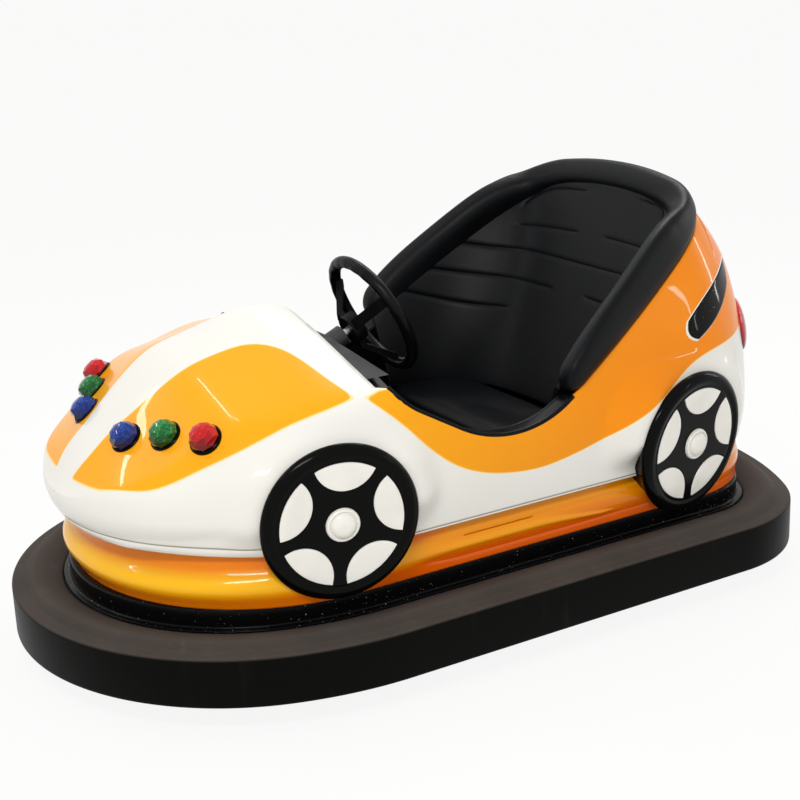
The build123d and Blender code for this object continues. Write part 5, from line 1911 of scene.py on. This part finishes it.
class Stage:
    """Floor, lights, world and camera."""

    EYE = Vector((3.1355, -1.8634, 1.6106))
    TARGET = Vector((-0.1547, 0.0847, 0.4120))
    ROLL = math.radians(-2.28)
    FOCAL_PIXELS, PICTURE_PIXELS = 1581.63, 800
    SENSOR = 36.0
    FLOOR_REACH = 60.0
    SEEING_RAYS = ("Is Camera Ray", "Is Glossy Ray", "Is Transmission Ray")
    FLOOR_GLOW, SURROUND = 0.9, 0.6
    LIGHTS = {
        "key": ((2.4, -2.2, 3.2), (0.0, -0.1, 0.4), (1.5, 0.4), 62.0),
        "top_strip": ((-1.2, 1.5, 3.0), (0.0, 0.3, 0.5), (1.8, 0.5), 34.0),
        "tail_strip": ((1.0, 4.6, 1.8), (0.3, 0.6, 0.6), (0.12, 1.8), 16.0),
        "nose_strip": ((-2.1, -2.65, 3.1), (0.2, -0.75, 0.52), (2.0, 0.08), 14.0),
        "hood_strip": ((-1.3, -0.85, 3.7), (0.24, -0.6, 0.64), (0.06, 0.9), 6.0),
        "flank_strip": ((3.6, 3.4, 1.7), (0.43, 0.5, 0.68), (0.06, 1.2), 5.0)}

    def camera(self) -> None:
        """Camera at the photograph's viewpoint."""
        back = (self.EYE - self.TARGET).normalized()
        right = (-back).cross(Vector((0.0, 0.0, 1.0))).normalized()
        up = right.cross(-back)
        level, rise = math.cos(self.ROLL), math.sin(self.ROLL)
        pose = Matrix((right * level + up * rise, up * level - right * rise, back)).transposed().to_4x4()
        pose.translation = self.EYE
        data = bpy.data.cameras.new("camera")
        data.lens, data.sensor_width = self.FOCAL_PIXELS / self.PICTURE_PIXELS * self.SENSOR, self.SENSOR
        camera = linked("camera", data)
        camera.matrix_world = pose
        bpy.context.scene.camera = camera

    def floor(self) -> None:
        """Pale floor that shows white and keeps a faint shadow."""
        mesh = bpy.data.meshes.new("floor")
        reach = self.FLOOR_REACH
        mesh.from_pydata([(-reach, -reach, 0), (reach, -reach, 0), (reach, reach, 0), (-reach, reach, 0)], [],
                         [(0, 1, 2, 3)])
        shader = Shader("floor")
        shader.set(Base_Color=(0.86, 0.86, 0.85), Roughness=0.9, Specular_IOR_Level=0.0)
        glow = shader.node("ShaderNodeEmission", None, {"Color": (1.0, 1.0, 0.995), "Strength": 1.0})
        plain = Link(shader, shader.surface.outputs[0])
        camera, glossy, clear = (shader.node("ShaderNodeLightPath", output=name) for name in self.SEEING_RAYS)
        share = camera.math("MAXIMUM", glossy).math("MAXIMUM", clear) * self.FLOOR_GLOW
        both = shader.node("ShaderNodeMixShader", None, {0: share, 1: plain, 2: glow})
        shader.tree.links.new(both.socket, shader.tree.nodes["Material Output"].inputs[0])
        mesh.materials.append(shader.material)
        linked("floor", mesh)

    def world(self) -> None:
        """White surround: 1 where it is seen, also in metal and glass, and dimmer for the rest of the light."""
        world = bpy.data.worlds.new("surround")
        world.use_nodes = True
        tree = world.node_tree
        path, mix = tree.nodes.new("ShaderNodeLightPath"), tree.nodes.new("ShaderNodeMixShader")
        seen, plain = tree.nodes.new("ShaderNodeBackground"), tree.nodes["Background"]
        for node, level in ((seen, 1.0), (plain, self.SURROUND)):
            node.inputs[0].default_value, node.inputs[1].default_value = (1.0, 1.0, 1.0, 1.0), level
        share = path.outputs[self.SEEING_RAYS[0]]
        for name in self.SEEING_RAYS[1:]:
            either = tree.nodes.new("ShaderNodeMath")
            either.operation = "MAXIMUM"
            tree.links.new(share, either.inputs[0])
            tree.links.new(path.outputs[name], either.inputs[1])
            share = either.outputs[0]
        for index, output in enumerate((share, plain.outputs[0], seen.outputs[0])):
            tree.links.new(output, mix.inputs[index])
        tree.links.new(mix.outputs[0], tree.nodes["World Output"].inputs[0])
        bpy.context.scene.world = world

    def lamp(self, name: str, place: Triple, aim: Triple, size: tuple[float, float], power: float) -> None:
        """Rectangular soft light.

        Args:
            name: its name.
            place: where it hangs, in metres.
            aim: point that it faces.
            size: width and height in metres.
            power: watts.
        """
        data = bpy.data.lights.new(name, "AREA")
        data.shape, (data.size, data.size_y), data.energy = "RECTANGLE", size, power
        light = linked(name, data)
        light.location = place
        light.rotation_euler = (Vector(aim) - Vector(place)).to_track_quat("-Z", "Y").to_euler()

    def build(self) -> None:
        """Puts the stage together."""
        self.camera()
        self.floor()
        self.world()
        for name, light in self.LIGHTS.items():
            self.lamp(name, *light)
        bpy.context.scene.view_settings.view_transform = "Standard"


WHITE_PLASTIC = GlossMoulding("ivory_lens", srgb(244, 241, 232), 0.0, 0.2)
BLACK_GLOSS = GlossMoulding("black_gloss", srgb(6, 6, 5), 0.0, 0.12, 0.07)
PAN_GLOSS = GlossMoulding("pan_gloss", srgb(8, 8, 8), 1.0, 0.16, 0.08)
PANE_GLOSS = GlossMoulding("pane_gloss", srgb(8, 9, 8), 1.0, 0.05, 0.12)
LAMPS = (
    NoseLamps("blue", (116.0, -750.0)), NoseLamps("green", (205.0, -697.0)), NoseLamps("red", (300.0, -649.0)))
LAMP_COLOURS = {
    "blue": (srgb(0, 34, 120), srgb(16, 92, 196)), "green": (srgb(0, 96, 36), srgb(60, 186, 96)),
    "red": (srgb(190, 2, 12), srgb(236, 30, 34))}
CAD_FINISHES: tuple[tuple[Metal | SatinMoulding, tuple[str, ...]], ...] = (
    (Metal("painted_steel", srgb(40, 40, 41), 0.0, 0.42), (
        "chassis_rim", "chassis_frame", "floor_plate", "drive_turntable", "steering_column")),
    (Metal("bare_steel", srgb(190, 190, 188), 1.0, 0.28), (
        "rear_axle", "accelerator_pedal", "steering_shaft")),
    (Metal("grey_casting", srgb(120, 120, 122), 0.85, 0.5, 500.0), (
        "turntable_ring", "drive_motor", "drive_wheel_hub", "rear_wheel_left_hub", "rear_wheel_right_hub")),
    (SatinMoulding("tyre_rubber", srgb(44, 43, 42), 0.6), (
        "drive_wheel_tyre", "rear_wheel_left_tyre", "rear_wheel_right_tyre")),
    (SatinMoulding("liner_moulding", srgb(11, 11, 12), 0.36), (
        "cockpit_liner", "seat_base", "dash_panel", "footwell_bulkhead", "steering_spokes")),
    (SatinMoulding("battery_case", srgb(96, 98, 102), 0.5), ("battery_block",)),
)


def dress_cad(frame: dict) -> None:
    """Gives the CAD nodes that stay visible their finishes.
    """
    for finish, nodes in CAD_FINISHES:
        material = finish.make()
        for name in nodes:
            node = frame["nodes"][name]
            if not node.material_slots:
                node.data.materials.append(material)
            for slot in node.material_slots:
                slot.material = material
        LOG.info("%s on %d nodes", finish.name, len(nodes))


def main() -> None:
    """Loads the frame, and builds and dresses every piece."""
    logging.basicConfig(level=logging.INFO, format="%(name)s: %(message)s")
    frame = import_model()
    Stage().build()
    dress_cad(frame)
    BodyShell().build(ShellPaint().make())
    ring = Ring()
    ring.build_rubber(DustyRubber().make())
    ring.build_pan(PAN_GLOSS.make())
    ring.build_skirt(SkirtPaint().make())
    black, ivory = BLACK_GLOSS.make(), WHITE_PLASTIC.make()
    for end, (centre, yaw, lean) in DISC_PLACES.items():
        for side in ("left", "right"):
            disc = WheelDisc(end + "_" + side, centre, yaw, lean, side == "right")
            disc.build_star(black)
            disc.build_lenses(ivory)
            disc.build_cap(ivory)
    for lamps in LAMPS:
        lamps.build(LampPlastic("lens_" + lamps.name, *LAMP_COLOURS[lamps.name]).make())
        lamps.build_seat(black)
    trim = TailTrim()
    trim.build_windows(PANE_GLOSS.make(), ivory)
    trim.build_lamps(LampPlastic("tail_lens", srgb(200, 8, 22), srgb(250, 60, 70)).make())
    cockpit, vinyl = Cockpit(), Vinyl().make()
    cockpit.build_pad(vinyl)
    cockpit.build_bowl(vinyl)
    cockpit.build_cushion(vinyl)
    cockpit.build_sills(SatinMoulding("sill_moulding", srgb(9, 9, 10), 0.22).make())
    Steering().build_rim(SatinMoulding("grip_moulding", srgb(11, 11, 12), 0.3).make())


if __name__ == "__main__":
    main()
